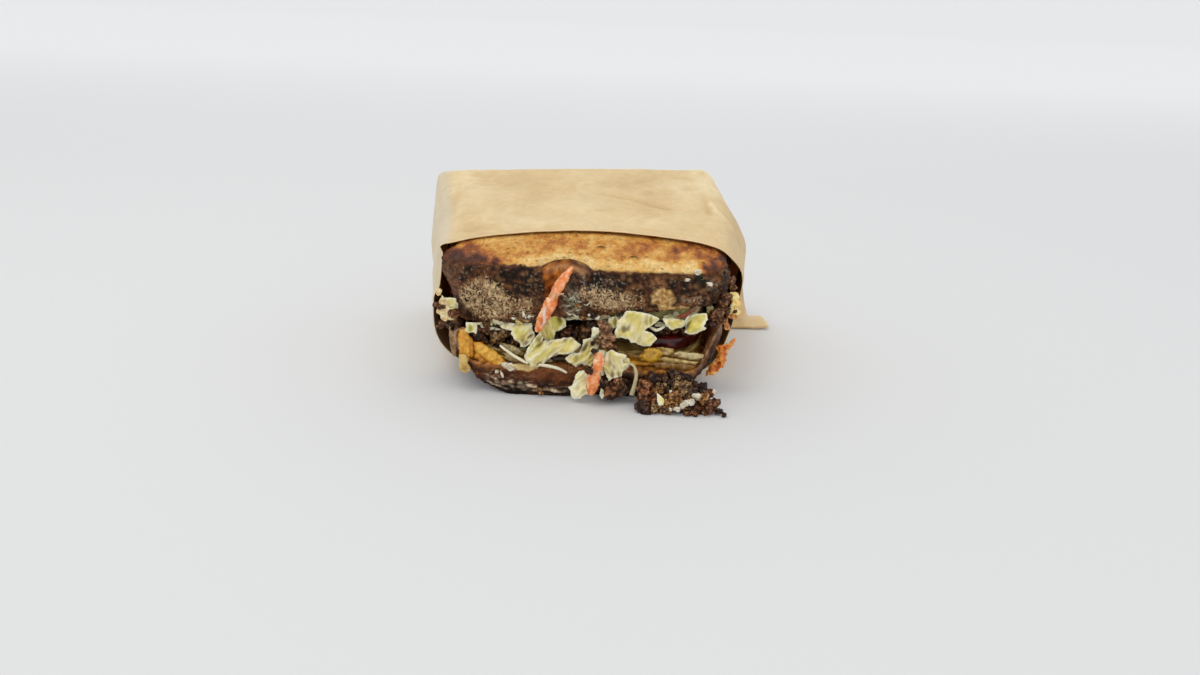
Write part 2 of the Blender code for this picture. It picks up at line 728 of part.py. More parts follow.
def build_side_fillings(left_material, right_material):
    left = (
        ((-2.6, 0.4, 3.6), 2.5),
        ((-3.4, 0.0, -1.4), 2.3),
        ((2.6, -1.0, 3.0), 2.8),
        ((2.4, -0.6, -3.4), 2.6),
        ((-0.6, 0.6, 6.4), 1.7),
    )
    right = (
        ((-0.8, 0.2, 4.2), 2.6),
        ((1.8, 0.2, 1.8), 2.0),
        ((-1.2, 0.0, -4.0), 2.4),
        ((1.2, 0.4, -2.8), 1.8),
    )
    build_side_filling("filling_left", (-50.9, -46.9, 31.6), left, left_material)
    build_side_filling("filling_right", (54.2, -44.4, 35.2), right, right_material)


def heap_height(x):
    """The heap is higher at its left end."""
    across = (x - HEAP_CENTRE[0]) / HEAP_HALF_SIZE[0]
    return lerp(HEAP_LEFT_HEIGHT, HEAP_RIGHT_HEIGHT, smoothstep(-0.5, 0.8, across))


def build_beef_spill(material):
    """A heap of beef crumbs in front of the bottom slice: a core with crumbs fused on."""
    sides = 20
    loops = []
    for share, level in ((0.5, 0.8), (0.8, 0.5), (1.0, 0.0)):
        loop = []
        for k in range(sides):
            angle = 2.0 * math.pi * k / sides
            x = HEAP_CENTRE[0] + HEAP_HALF_SIZE[0] * HEAP_CORE_SHARE * share * math.cos(angle)
            y = HEAP_CENTRE[1] + HEAP_HALF_SIZE[1] * HEAP_CORE_SHARE * share * math.sin(angle)
            loop.append((x, y, heap_height(x) * level))
        loops.append(loop)
    x, y = HEAP_CENTRE
    heap = loops_solid("beef_spill", loops, (x, y, heap_height(x) * 0.85), (x, y, 0.0), material)
    draw = random.Random(SEED + 2)
    crumbs = []
    for k in range(CRUMB_COUNT):
        angle = 2.0 * math.pi * (k * 0.382) + draw.uniform(-0.3, 0.3)
        reach = math.sqrt((k + 0.5) / CRUMB_COUNT)
        radius = draw.uniform(1.8, 3.1)
        cx = x + HEAP_HALF_SIZE[0] * reach * math.cos(angle)
        cy = y + HEAP_HALF_SIZE[1] * reach * math.sin(angle)
        cz = max(radius * 0.8, heap_height(cx) * (1.0 - reach * reach) + draw.uniform(-1.0, 1.6))
        crumbs.append(crumb(f"crumb_{k}", (cx, cy, cz), radius, k * 1.7, floor=0.02))
    fuse(heap, crumbs)
    return heap


def cut_corners(rows, rounds):
    """Rounds a closed outline by cutting its corners, in every column of its rows alike."""
    for _ in range(rounds):
        cut = []
        for a, b in zip(rows, rows[1:] + rows[:1]):
            cut.append(tuple(lerp(p, q, 0.25) for p, q in zip(a, b)))
            cut.append(tuple(lerp(p, q, 0.75) for p, q in zip(a, b)))
        rows = cut
    return rows


def sleeve_rows():
    """The sleeve's section, rounded and spaced along its rear outline, closer where that bends."""
    rows = cut_corners(list(SLEEVE_SECTION), 3)
    travelled = [0.0]
    for k, row in enumerate(rows):
        before, after = rows[k - 1], rows[(k + 1) % len(rows)]
        heading = math.atan2(row[3] - before[3], row[2] - before[2])
        next_heading = math.atan2(after[3] - row[3], after[2] - row[2])
        bend = abs(math.remainder(next_heading - heading, math.tau))
        travelled.append(travelled[-1] + math.dist(row[2:4], after[2:4]) + BEND_WEIGHT * bend)
    chosen, k = [], 0
    for step in range(SLEEVE_SIDES):
        target = travelled[-1] * step / SLEEVE_SIDES
        while travelled[k + 1] < target:
            k += 1
        share = (target - travelled[k]) / (travelled[k + 1] - travelled[k])
        after = rows[(k + 1) % len(rows)]
        chosen.append(tuple(lerp(p, q, share) for p, q in zip(rows[k], after)))
    return chosen


def corner_push(x, z, share):
    """How far the slice's upper right corner pushes the sleeve out and up, most halfway back."""
    corner_x, corner_z = PUSH_CORNER
    near = math.exp(-(((x - corner_x) / 7.0) ** 2) - ((z - corner_z) / 8.0) ** 2)
    return CORNER_PUSH * 4.0 * max(0.0, share * (1.0 - share)) * near


def sleeve_section(rows, y, inwards):
    """X and Z round the sleeve at a depth, moved in by a distance."""
    share = (y - SLEEVE_FRONT_PLANE) / (SLEEVE_REAR_PLANE - SLEEVE_FRONT_PLANE)
    flat = []
    for row in rows:
        x, z = lerp(row[0], row[2], share), lerp(row[1], row[3], share)
        push = corner_push(x, z, share)
        flat.append((x + push, z + push))
    moved = []
    for k, (x, z) in enumerate(flat):
        (ax, az), (bx, bz) = flat[k - 1], flat[(k + 1) % len(flat)]
        length = math.hypot(bx - ax, bz - az)
        moved.append((x - inwards * (bz - az) / length, z + inwards * (bx - ax) / length))
    return moved


def sleeve_loops(rows, inwards):
    """Loops of one face of the sleeve, from the mouth to the rear."""
    loops = []
    for step in range(SLEEVE_ROWS + 1):
        share = step / SLEEVE_ROWS
        loop = []
        for k, row in enumerate(rows):
            y = lerp(row[4], SLEEVE_REAR - 2.6, share)
            x, z = sleeve_section(rows, y, inwards)[k]
            loop.append((x, y, z))
        loops.append(loop)
    middle_z = 33.0
    for scale, back in ((0.985, 0.9), (0.955, 0.25), (0.6, 0.0)):
        y = SLEEVE_REAR - back - inwards
        section = sleeve_section(rows, SLEEVE_REAR - 2.6, inwards)
        loops.append([(x * scale, y, middle_z + (z - middle_z) * scale) for x, z in section])
    return loops, (0.0, SLEEVE_REAR - inwards, middle_z)


def build_ear(rows):
    """The sleeve's lower right wall flares out towards the rear, down to a flat tab of folded paper."""
    pieces = []
    loops = []
    stations = 4
    for step in range(stations):
        share = (step + 0.5) / stations
        y = lerp(EAR_START, SLEEVE_REAR - 1.0, share)
        section = sleeve_section(rows, y, PAPER_THICKNESS * 0.5)
        top = lerp(9.0, EAR_HEIGHT, smoothstep(0.0, 1.0, share))
        wall = [(x, z) for x, z in section[: SLEEVE_SIDES // 3] if x > 46.0 and z < top]
        wall_foot, wall_top = wall[0], wall[-1]
        tip = wall_top[0] + EAR_SPREAD * share
        inner = [resample(wall, k / 5.0) for k in range(6)]
        outer = []
        for k in range(1, 7):
            out = k / 6.0
            x = lerp(wall_top[0], tip, out)
            z = EAR_EDGE_THICKNESS + (wall_top[1] - EAR_EDGE_THICKNESS) * (1.0 - out) ** 2.2
            outer.append((x, z))
        outer.append((tip, 0.02))
        outer.append((lerp(tip, wall_foot[0], 0.5), 0.02))
        loops.append([(x, y, z) for x, z in inner + outer])
    ends = []
    for loop in (loops[0], loops[-1]):
        ends.append(tuple(sum(point[axis] for point in loop) / len(loop) for axis in range(3)))
    pieces.append(loops_solid("ear", loops, ends[0], ends[1]))
    tab = []
    for i in range(5):
        line = []
        for j in range(3):
            out, back = i / 4.0, j / 2.0
            x = lerp(TAB_INNER, TAB_OUTER, out)
            y = lerp(TAB_FRONT, TAB_REAR - 4.0 * out * out, back)
            line.append((x, y, TAB_THICKNESS / 2 + 0.1 + 0.5 * out * math.sin(math.pi * back)))
        tab.append(line)
    pieces.append(sheet_solid("tab", tab, TAB_THICKNESS))
    return pieces


def build_rear_folds():
    """Two side folds and a bottom flap over them, as a parcel's end is closed."""
    pieces = []
    for name, outline, lift in (("side_fold", SIDE_FOLD, 0.1), ("bottom_flap", BOTTOM_FLAP, 0.65)):
        for side in (-1.0, 1.0) if outline is SIDE_FOLD else (1.0,):
            grid = []
            for z, left, right in outline:
                line = [(side * lerp(left, right, k / 3.0) - 1.5, SLEEVE_REAR + lift, z) for k in range(4)]
                grid.append(line)
            pieces.append(sheet_solid(name, grid, FOLD_THICKNESS))
    return pieces


def resample(points, share):
    """The point at a share of the way along a line of points."""
    place = share * (len(points) - 1)
    k = min(int(place), len(points) - 2)
    return tuple(lerp(a, b, place - k) for a, b in zip(points[k], points[k + 1]))


def build_sleeve(material):
    rows = sleeve_rows()
    inner, inner_pole = sleeve_loops(rows, PAPER_THICKNESS)
    outer, outer_pole = sleeve_loops(rows, 0.0)
    loops = list(reversed(inner)) + outer
    sleeve = loops_solid("paper_sleeve", loops, inner_pole, outer_pole, material)
    fuse(sleeve, build_ear(rows) + build_rear_folds())
    return sleeve


def main():
    clear_scene()
    crust = make_material("crust", (0.42, 0.22, 0.09), 0.7)
    paper = make_material("kraft_paper", (0.68, 0.5, 0.3), 0.8)
    cheese = make_material("melted_cheese", (0.85, 0.5, 0.06), 0.4)
    crisp = make_material("browned_cheese", (0.75, 0.32, 0.04), 0.5)
    onion = make_material("grilled_onion", (0.55, 0.45, 0.2), 0.35)
    tomato = make_material("tomato", (0.25, 0.03, 0.02), 0.2)
    beef = make_material("beef", (0.16, 0.08, 0.05), 0.6)
    cabbage = make_material("cabbage", (0.68, 0.66, 0.34), 0.4)
    carrot = make_material("carrot", (0.85, 0.28, 0.06), 0.4)
    build_sleeve(paper)
    build_top_slice(crust)
    build_bottom_slice(crust)
    build_cheese(cheese)
    build_cheese_crisp(crisp)
    build_onions(onion)
    build_tomato(tomato)
    build_beef(beef)
    build_slaw(cabbage)
    build_slaw_spill(cabbage)
    build_carrots(carrot)
    build_side_fillings(cabbage, cheese)
    build_beef_spill(beef)
    melt = bpy.data.objects.new("patty_melt", None)
    bpy.context.scene.collection.objects.link(melt)
    for obj in bpy.context.scene.collection.objects:
        if obj.type == "MESH":
            obj.parent = melt


main()
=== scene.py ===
"""The looks of a patty melt in a kraft paper sleeve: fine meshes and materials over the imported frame.

Lengths are millimetres until a mesh is made. X runs to the right, Y to the rear and Z up. Colours are
written as the red, green and blue of a screen, from 0 to 255, and rgb() makes them linear.
"""

import itertools
import math
from types import SimpleNamespace

import bmesh
import bpy
import numpy as np
from mathutils import Matrix, Vector
from mathutils.geometry import delaunay_2d_cdt


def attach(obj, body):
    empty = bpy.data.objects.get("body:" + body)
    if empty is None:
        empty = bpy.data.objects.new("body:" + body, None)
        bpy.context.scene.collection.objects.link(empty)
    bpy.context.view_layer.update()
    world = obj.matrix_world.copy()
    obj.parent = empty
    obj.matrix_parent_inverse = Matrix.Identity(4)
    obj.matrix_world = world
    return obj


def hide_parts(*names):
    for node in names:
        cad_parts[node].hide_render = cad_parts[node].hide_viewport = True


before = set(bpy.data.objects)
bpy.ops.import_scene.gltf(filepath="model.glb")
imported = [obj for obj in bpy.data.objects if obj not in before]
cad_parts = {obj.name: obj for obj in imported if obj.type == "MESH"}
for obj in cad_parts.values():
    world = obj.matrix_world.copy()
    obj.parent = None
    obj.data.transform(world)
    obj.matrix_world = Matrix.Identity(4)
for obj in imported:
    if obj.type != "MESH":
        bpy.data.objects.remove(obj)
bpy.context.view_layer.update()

MM = 0.001

# Numbers of the solids that the looks follow
HALF_WIDTH, FRONT_DEPTH, REAR_DEPTH = 56, 50, 47
FRONT_CORNER_POWER, REAR_CORNER_POWER = 8.5, 5.5
FRONT_NARROWING = 0.075
TOP_FRONT_HEIGHT, TOP_SLOPE, TOP_LEAN = 50.2, 0.165, 0.024
ROOF_FRONT_HEIGHT, ROOF_SLOPE, ROOF_TILT = 31, 0.16, 0.105
SPLIT_X, SPLIT_LEAN, SPLIT_DEPTH = -7, 0.28, 10.2
SPLIT_HALF_WIDTH, SPLIT_FOOT_HALF_WIDTH = 9.2, 3.5
SPLIT_BOTTOM_HEIGHT, SPLIT_REACH = 35, 22
PAPER_LIFT, LIFT_START, LIFT_END = 1.05, -42, -29
FRONT_RIM_HEIGHT, SIDE_RIM_HEIGHT, REAR_RIM_HEIGHT = 10.6, 26.5, 22
FRONT_CRUMB_HEIGHT, REAR_CRUMB_HEIGHT = 11.6, 17.5
SIDE_CURL_WIDTH, FRONT_CURL_DEPTH, FOOT_CURL_DEPTH = 20, 8, 3.4
RIM_SHARE, CRUMB_SHARE = 0.955, 0.86
GAP = 0.4
CHEESE_THICKNESS, ONION_THICKNESS, TOMATO_THICKNESS = 2, 3, 5
TOMATO_CENTRE, TOMATO_RADIUS = (29.5, -29.5), 15
SLAW_LEFT_THICKNESS, SLAW_RIGHT_THICKNESS = 2.6, 7.6
LAYER_INSET = 9
SLEEVE_REAR, SLEEVE_FRONT_PLANE, SLEEVE_REAR_PLANE = 51.8, -40, 50
SLEEVE_MIDDLE_HEIGHT, REAR_ROUNDING = 33, 2.6
PAPER_THICKNESS, FOLD_THICKNESS = 0.35, 0.4
# The camera's place, and the photo's width and focal length in pixels
EYE = np.array([5.2, -365.2, 137])
PHOTO_WIDTH, FOCAL_LENGTH = 1200, 917.4
CAMERA_PITCH, CAMERA_YAW, CAMERA_ROLL = 19.77, 0.09, 2.29


# Numbers, noise and colours
def step(start, end, value):
    share = np.clip((value - start) / (end - start), 0, 1)
    return share * share * (3 - 2 * share)


def lerp(a, b, share):
    return a + (b - a) * share


def cap(value, most=1):
    """Value held between 0 and most."""
    return np.clip(value, 0, most)


def bell(value, centre, width):
    return np.exp(-(((value - centre) / width) ** 2))


DRAW = np.random.default_rng(12)
PERM = np.tile(DRAW.permutation(256), 3)
GRADIENTS = DRAW.normal(size=(256, 3))
GRADIENTS /= np.linalg.norm(GRADIENTS, axis=1)[:, None]
SCATTER = DRAW.uniform(size=(256, 3))


def scramble(cell):
    """A number from 0 to 255 for each cell of a grid."""
    key = PERM[cell[:, 0] & 255]
    key = PERM[key + (cell[:, 1] & 255)]
    return PERM[key + (cell[:, 2] & 255)]


def noise(points, size, seed=0):
    """Smooth noise between about -1 and 1 with features of the given size."""
    place = np.asarray(points, float) / size + 17.31 * seed + 100
    cell = np.floor(place).astype(int)
    f = place - cell
    weight = f * f * f * (f * (f * 6 - 15) + 10)
    total = np.zeros(len(place))
    for corner in itertools.product((0, 1), repeat=3):
        slope = (f - corner) * GRADIENTS[scramble(cell + corner)]
        share = np.abs(1 - np.array(corner) - weight)
        total += share[:, 0] * share[:, 1] * share[:, 2] * (slope[:, 0] + slope[:, 1] + slope[:, 2])
    return 1.7 * total


def fbm(points, size, octaves=3, seed=0, gain=0.5):
    return sum(gain**k * noise(points, size / 2.03**k, seed + 3.7 * k) for k in range(octaves))


def cells(points, size, seed=0):
    """Distance to the nearest of scattered points, in cells, and a number between 0 and 1 for that point."""
    place = np.asarray(points, float) / size + 7.7 * seed + 100
    base = np.floor(place).astype(int)
    best, which = np.full(len(place), np.inf), np.zeros(len(place))
    for offset in itertools.product((-1, 0, 1), repeat=3):
        cell = base + offset
        key = scramble(cell)
        distance = ((place - cell - SCATTER[key]) ** 2).sum(1)
        closer = distance < best
        best = np.where(closer, distance, best)
        which = np.where(closer, key / 255, which)
    return np.sqrt(best), which


def rgb(colour):
    """The linear colour for a red, green and blue. An array is linear already and stays."""
    if not isinstance(colour, tuple):
        return colour
    value = np.array(colour, float) / 255
    return np.where(value <= 0.04045, value / 12.92, ((value + 0.055) / 1.055) ** 2.4)


def blend(colour, other, share):
    share = cap(np.asarray(share, float))[..., None]
    return rgb(colour) * (1 - share) + rgb(other) * share


def ramp(value, *stops):
    """Colours along stops of value, red, green and blue."""
    places = [stop[0] for stop in stops]
    colours = np.array([rgb(stop[1:]) for stop in stops])
    return np.stack([np.interp(value, places, colours[:, k]) for k in range(3)], axis=-1)


def shades(value, tones):
    """Colours for values from 0 to 1 from those of crevice, middle and crest."""
    return ramp(value, *((k / 2, *tone) for k, tone in enumerate(tones)))


def spot(points, centre, radii):
    """One at the centre of an ellipsoid and falling off smoothly outside it."""
    away = (points - np.array(centre)) / np.array(radii)
    return np.exp(-((away**2).sum(-1) ** 1.5))


def spots(points, rows):
    """The sum of spots from rows of amount, centre and radii."""
    return sum(amount * spot(points, centre, radii) for amount, centre, radii in rows)


# Shapes: points, faces, tint and mark
class Shape:
    def __init__(self, points, faces, tint, mark=0):
        self.points = np.asarray(points, float)
        self.faces = [list(map(int, face)) for face in faces]
        count = len(self.points)
        self.tint = np.broadcast_to(np.asarray(rgb(tint), float), (count, 3))
        self.mark = np.broadcast_to(np.asarray(mark, float), (count,))


def unit(vectors):
    return vectors / np.maximum(np.linalg.norm(vectors, axis=-1), 1e-9)[..., None]


def path_lengths(points):
    """Distance travelled at each point of a path."""
    return np.concatenate([[0], np.cumsum(np.linalg.norm(np.diff(points, axis=0), axis=1))])


def loop_faces(rows, count):
    """Faces of closed loops, with a pole before the first and after the last."""
    k = np.arange(count)
    after = (k + 1) % count
    faces = []
    for row in range(rows - 1):
        low, high = row * count, (row + 1) * count
        faces += np.stack([low + k, low + after, high + after, high + k], 1).tolist()
    first, last, final = rows * count, rows * count + 1, (rows - 1) * count
    faces += [[first, b, a] for a, b in zip(k.tolist(), after.tolist())]
    faces += [[last, final + a, final + b] for a, b in zip(k.tolist(), after.tolist())]
    return faces


def loop_normals(loops):
    """One normal for each point of a stack of loops."""
    around = np.roll(loops, -1, axis=1) - np.roll(loops, 1, axis=1)
    return unit(np.cross(around, np.gradient(loops, axis=0))).reshape(-1, 3)


def refine_rows(rows, steps):
    """Smooth rows through the given ones, and each new row's place among them."""
    rows = np.asarray(rows, float)
    padded = np.concatenate([rows[:1], rows, rows[-1:]])
    made, places = [], []
    for k, count in enumerate(steps):
        p0, p1, p2, p3 = padded[k : k + 4]
        for t in np.arange(count) / count:
            bend = (2 * p0 - 5 * p1 + 4 * p2 - p3) * t**2 + (3 * p1 - p0 - 3 * p2 + p3) * t**3
            made.append(0.5 * (2 * p1 + (p2 - p0) * t + bend))
            places.append(k + t)
    return np.array(made + [rows[-1]]), np.array(places + [len(rows) - 1])


def turn_matrix(turn, lean, yaw):
    """Turns about Y, then leans about X, then about Z, in degrees."""
    turns = ((yaw, "Z"), (lean, "X"), (turn, "Y"))
    about = [Matrix.Rotation(math.radians(angle), 3, axis) for angle, axis in turns]
    return np.array(about[0] @ about[1] @ about[2])


def sheet(grid, thickness, tint):
    """A thin closed shape on both sides of a grid of points."""
    rows, columns = grid.shape[:2]
    half = unit(np.cross(np.gradient(grid, axis=0), np.gradient(grid, axis=1))) * (thickness / 2)
    points = np.concatenate([(grid + half).reshape(-1, 3), (grid - half).reshape(-1, 3)])
    index = np.arange(rows * columns).reshape(rows, columns)
    a, b, c, d = (part.ravel() for part in (index[:-1, :-1], index[:-1, 1:], index[1:, 1:], index[1:, :-1]))
    below = rows * columns
    faces = np.stack([a, d, c, b], 1).tolist() + (np.stack([a, b, c, d], 1) + below).tolist()
    rim = list(index[0]) + list(index[1:, -1]) + list(index[-1, -2::-1]) + list(index[-2:0:-1, 0])
    faces += [[p, q, q + below, p + below] for p, q in zip(rim, rim[1:] + rim[:1])]
    tint = tint.reshape(-1, 3)
    return Shape(points, faces, np.concatenate([tint, tint]))


def curve(points, count):
    """Points evenly along a smooth line through the given ones."""
    fine, _ = refine_rows(np.asarray(points, float), [12] * (len(points) - 1))
    travelled = path_lengths(fine)
    targets = np.linspace(0, travelled[-1], count)
    return np.stack([np.interp(targets, travelled, fine[:, k]) for k in range(3)], 1)


def strand(points, widths, thicknesses, tint, seed, count, sides, side, rough=0.12, twist=0):
    """A soft strip with round edges along a path.

    Side is where its width lies, and twist turns it in degrees.
    """
    path = curve(points, count)
    along = unit(np.gradient(path, axis=0))
    across = unit(np.asarray(side, float) - (along @ np.asarray(side, float))[:, None] * along)
    up = np.cross(along, across)
    turn = np.linspace(0, math.radians(twist), count)[:, None]
    across, up = across * np.cos(turn) + up * np.sin(turn), up * np.cos(turn) - across * np.sin(turn)
    share = np.linspace(0, 1, count)
    width = np.interp(share, np.linspace(0, 1, len(widths)), widths) / 2
    thick = np.interp(share, np.linspace(0, 1, len(thicknesses)), thicknesses) / 2
    angle = 2 * np.pi * np.arange(sides) / sides
    ca, sa = (np.sign(part) * np.abs(part) ** 0.65 for part in (np.cos(angle), np.sin(angle)))
    wide = across[:, None] * (width[:, None] * ca)[..., None]
    high = up[:, None] * (thick[:, None] * sa)[..., None]
    flat = (path[:, None] + wide + high).reshape(-1, 3)
    uneven = 1 + rough * noise(flat, 1.6, seed) + rough * noise(flat, 0.7, seed + 1)
    middle = np.repeat(path, sides, axis=0)
    points = np.concatenate([middle + (flat - middle) * uneven[:, None], path[:1], path[-1:]])
    return Shape(points, loop_faces(count, sides), tint(points) if callable(tint) else tint)


def rim_distance(points, rim):
    run = np.roll(rim, -1, axis=0) - rim
    gap = points[:, None] - rim[None]
    along = np.clip((gap * run).sum(2) / np.maximum((run**2).sum(1), 1e-9), 0, 1)
    return np.linalg.norm(gap - along[..., None] * run, axis=2).min(1)


def lies_inside(points, rim):
    after = np.roll(rim, -1, axis=0)
    x, z = points[:, :1], points[:, 1:]
    spans = (rim[:, 1] > z) != (after[:, 1] > z)
    rise = np.where(after[:, 1] == rim[:, 1], 1e-9, after[:, 1] - rim[:, 1])
    crossing = rim[:, 0] + (z - rim[:, 1]) * (after[:, 0] - rim[:, 0]) / rise
    return (spans & (x < crossing)).sum(1) % 2 == 1


def fill_outline(edge, depth, seed, ragged, spacing):
    """Fills an outline of X and Z: points, triangles, open edges and each point's distance from the rim."""
    closed = np.concatenate([edge, edge[:1]])
    travelled = path_lengths(closed)
    count = int(travelled[-1] / (0.8 * spacing))
    along = travelled[-1] * np.arange(count) / count
    rim = np.stack([np.interp(along, travelled, closed[:, k]) for k in (0, 1)], 1)
    rim = 0.25 * np.roll(rim, 1, axis=0) + 0.5 * rim + 0.25 * np.roll(rim, -1, axis=0)
    place = np.stack([rim[:, 0], np.full(count, depth), rim[:, 1]], 1)
    sideways = noise(place, 1.2, seed) + 0.5 * noise(place, 0.5, seed)
    rim = rim + ragged * np.stack([sideways, noise(place, 1.2, seed + 0.5)], 1)
    low, high = rim.min(0), rim.max(0)
    x, z = np.meshgrid(np.arange(low[0], high[0], spacing), np.arange(low[1], high[1], 0.87 * spacing))
    x[1::2] += 0.5 * spacing
    within = np.stack([x.ravel(), z.ravel()], 1)
    within = within[lies_inside(within, rim)]
    within = within[rim_distance(within, rim) > 0.5 * spacing]
    borders = [(k, (k + 1) % count) for k in range(count)]
    flat = [Vector(point) for point in np.concatenate([rim, within]).tolist()]
    made = delaunay_2d_cdt(flat, borders, [], 1, 1e-4)
    flat = np.array([point[:] for point in made[0]])
    triangles = [list(face) for face in made[2]]
    directed = {(face[k], face[(k + 1) % 3]) for face in triangles for k in range(3)}
    open_edges = [pair for pair in directed if pair[::-1] not in directed]
    points = np.stack([flat[:, 0], np.full(len(flat), depth), flat[:, 1]], 1)
    return points, triangles, open_edges, rim_distance(flat, rim)


def patch(edge, depth, thick, tint, seed=0, swell=0, relief=(), ragged=0.2, spacing=0.42, curl=0, grain=None):
    """A closed piece that fills an outline of X and Z at a depth and is raised towards the eye.

    Swell rounds it like a pillow, relief is (size, height, ridged) and curl waves its edge. Grain is the
    angle in degrees along which relief and tint are drawn out, and how far.
    """
    points, triangles, open_edges, away = fill_outline(np.asarray(edge, float), depth, seed, ragged, spacing)
    field = points
    if grain:
        angle, stretch = math.radians(grain[0]), grain[1]
        x, z = points[:, 0], points[:, 2]
        lengthways = (x * math.cos(angle) + z * math.sin(angle)) / stretch
        field = np.stack([lengthways, points[:, 1], z * math.cos(angle) - x * math.sin(angle)], 1)
    rise = np.zeros(len(points))
    for k, (size, height, ridged) in enumerate(relief):
        wave = noise(field, size, seed + 1.7 * k)
        rise += height * (1 - 2.4 * np.abs(wave) if ridged else wave)
    wave = curl * noise(points, 2.2, seed + 9) * np.exp(-away / 1.3)
    round_up = np.sqrt(1 - (1 - cap(away / max(1.4 * swell, 0.3))) ** 2)
    towards = unit(EYE - points)
    front = rise * (0.35 + 0.65 * cap(away)) + wave + swell * round_up
    back = front - thick * (0.4 + 0.6 * cap(away / 0.8)) - 1.4 * swell * round_up
    both = np.concatenate([points + towards * front[:, None], points + towards * back[:, None]])
    total = len(points)
    faces = triangles + [[a + total for a in face[::-1]] for face in triangles]
    faces += [[b, a, a + total, b + total] for a, b in open_edges]
    colours = tint(field, away, rise) if callable(tint) else np.broadcast_to(rgb(tint), (total, 3))
    # The back is tinted as a darker copy of the front: painted shade.
    return Shape(both, faces, np.concatenate([colours, 0.85 * colours]))


LEAF_RELIEF = ((3.4, 1.3, False), (1.7, 0.75, True), (0.8, 0.2, False))


def leaf_tint(green, dim=1):
    def colours(points, away, rise):
        streaks = noise(points, 0.9, 59.5)
        tone = 0.8 * green + 0.4 * noise(points, 2.6, 58) + 0.14 * streaks
        tint = ramp(tone, (0, 246, 230, 184), (0.35, 232, 211, 124), (0.7, 202, 188, 70), (1, 158, 156, 40))
        # A pale rim, partly the cabbage's own cream edge and partly painted highlight.
        pale = step(1.5, 0.1, away + 0.9 * noise(points, 1.6, 59.8))
        tint = blend(tint, (252, 242, 210), 0.75 * pale)
        # Painted shade where the relief sinks, turning brown where deepest. Dim scales the whole leaf:
        # painted shade below one, painted light above it.
        shade = lerp(0.42, 1.04, step(-1.3, 0.2, rise + 0.2 * streaks))
        return dim * blend(tint * shade[:, None], (104, 74, 32), 0.5 * step(0.75, 0.45, shade))

    return colours


def torn_leaf(edge, depth, seed, green, dim):
    """A torn piece of cabbage."""
    grain = (74 + 32 * math.sin(7 * seed), 2.6)
    return patch(edge, depth, 0.5, leaf_tint(green, dim), seed, 0, LEAF_RELIEF, 0.26, 0.38, 0.6, grain)


def chip(centre, size, seed, points=9):
    """A ragged outline round a centre."""
    draw = np.random.default_rng(int(seed))
    angle = 2 * np.pi * (np.arange(points) + draw.uniform(-0.25, 0.25, points)) / points
    reach = draw.uniform(0.65, 1.15, points)
    x = centre[0] + size[0] * reach * np.cos(angle)
    return np.stack([x, centre[1] + size[1] * reach * np.sin(angle)], 1)


def ball(detail):
    shape = bmesh.new()
    bmesh.ops.create_icosphere(shape, subdivisions=detail, radius=1)
    points = np.array([vertex.co[:] for vertex in shape.verts])
    faces = [[vertex.index for vertex in face.verts] for face in shape.faces]
    shape.free()
    return points, faces


BALLS = {detail: ball(detail) for detail in (2, 3, 4)}


def lump(centre, radius, seed, tones, detail, rough, stretch, turn, floor=None):
    """A craggy crumb. Tones are its crevice, middle and crest colours: painted shade in the crevices, painted
    highlight on the crests.
    """
    points, faces = BALLS[detail]
    near, _ = cells(points, 0.7, seed)
    small, _ = cells(points, 0.34, seed + 2)
    grain = noise(points, 0.2, seed + 3)
    crags = 0.36 * (0.55 - near) + 0.3 * (0.5 - small) + 0.1 * grain
    crags += 0.1 * np.abs(noise(points, 0.5, seed + 5))
    uneven = 1 + 0.42 * noise(points, 1.1, seed) + rough * crags
    shaped = points * uneven[:, None] * np.asarray(stretch) * radius
    shaped = shaped @ turn_matrix(*turn).T + np.asarray(centre)
    if floor is not None:
        shaped[:, 2] = np.maximum(shaped[:, 2], floor)
    # Painted shade and highlight, by how deep each point lies among the crags.
    height = 0.46 + 0.8 * (0.5 - near) + 1.6 * (0.42 - small) + 0.4 * grain
    height += 0.4 * noise(points, 0.8, seed + 7)
    return Shape(shaped, faces, shades(height, tones))


def mesh_object(name, points, faces, tint, material):
    mesh = bpy.data.meshes.new(name)
    mesh.from_pydata(points.tolist(), [], faces)
    colours = np.concatenate([tint, np.ones((len(points), 1))], 1)
    mesh.attributes.new("tint", "FLOAT_COLOR", "POINT").data.foreach_set("color", cap(colours).ravel())
    mesh.shade_smooth()
    mesh.materials.append(material)
    obj = bpy.data.objects.new(name, mesh)
    bpy.context.scene.collection.objects.link(obj)
    return obj


def piece(name, shapes, material, nodes=()):
    """One mesh object from shapes. It rides on the body and stands for the CAD nodes."""
    faces, start = [], 0
    for part in shapes:
        faces += [[index + start for index in face] for face in part.faces]
        start += len(part.points)
    points = np.concatenate([part.points for part in shapes])
    obj = mesh_object(name, points * MM, faces, np.concatenate([part.tint for part in shapes]), material)
    mark = obj.data.attributes.new("mark", "FLOAT", "POINT")
    mark.data.foreach_set("value", np.concatenate([part.mark for part in shapes]))
    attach(obj, "root")
    if nodes:
        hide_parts(*nodes)


# Materials
def set_input(tree, socket, value):
    if isinstance(value, bpy.types.NodeSocket):
        tree.links.new(value, socket)
    else:
        socket.default_value = value


def new_node(tree, kind, inputs=(), **settings):
    made = tree.nodes.new(kind)
    for key, value in settings.items():
        setattr(made, key, value)
    for key, value in dict(inputs).items():
        set_input(tree, made.inputs[key], value)
    return made


def noise_node(tree, place, size, detail=3, rough=0.55):
    inputs = {"Vector": place, "Scale": 1000 / size, "Detail": detail, "Roughness": rough}
    return new_node(tree, "ShaderNodeTexNoise", inputs).outputs["Fac"]


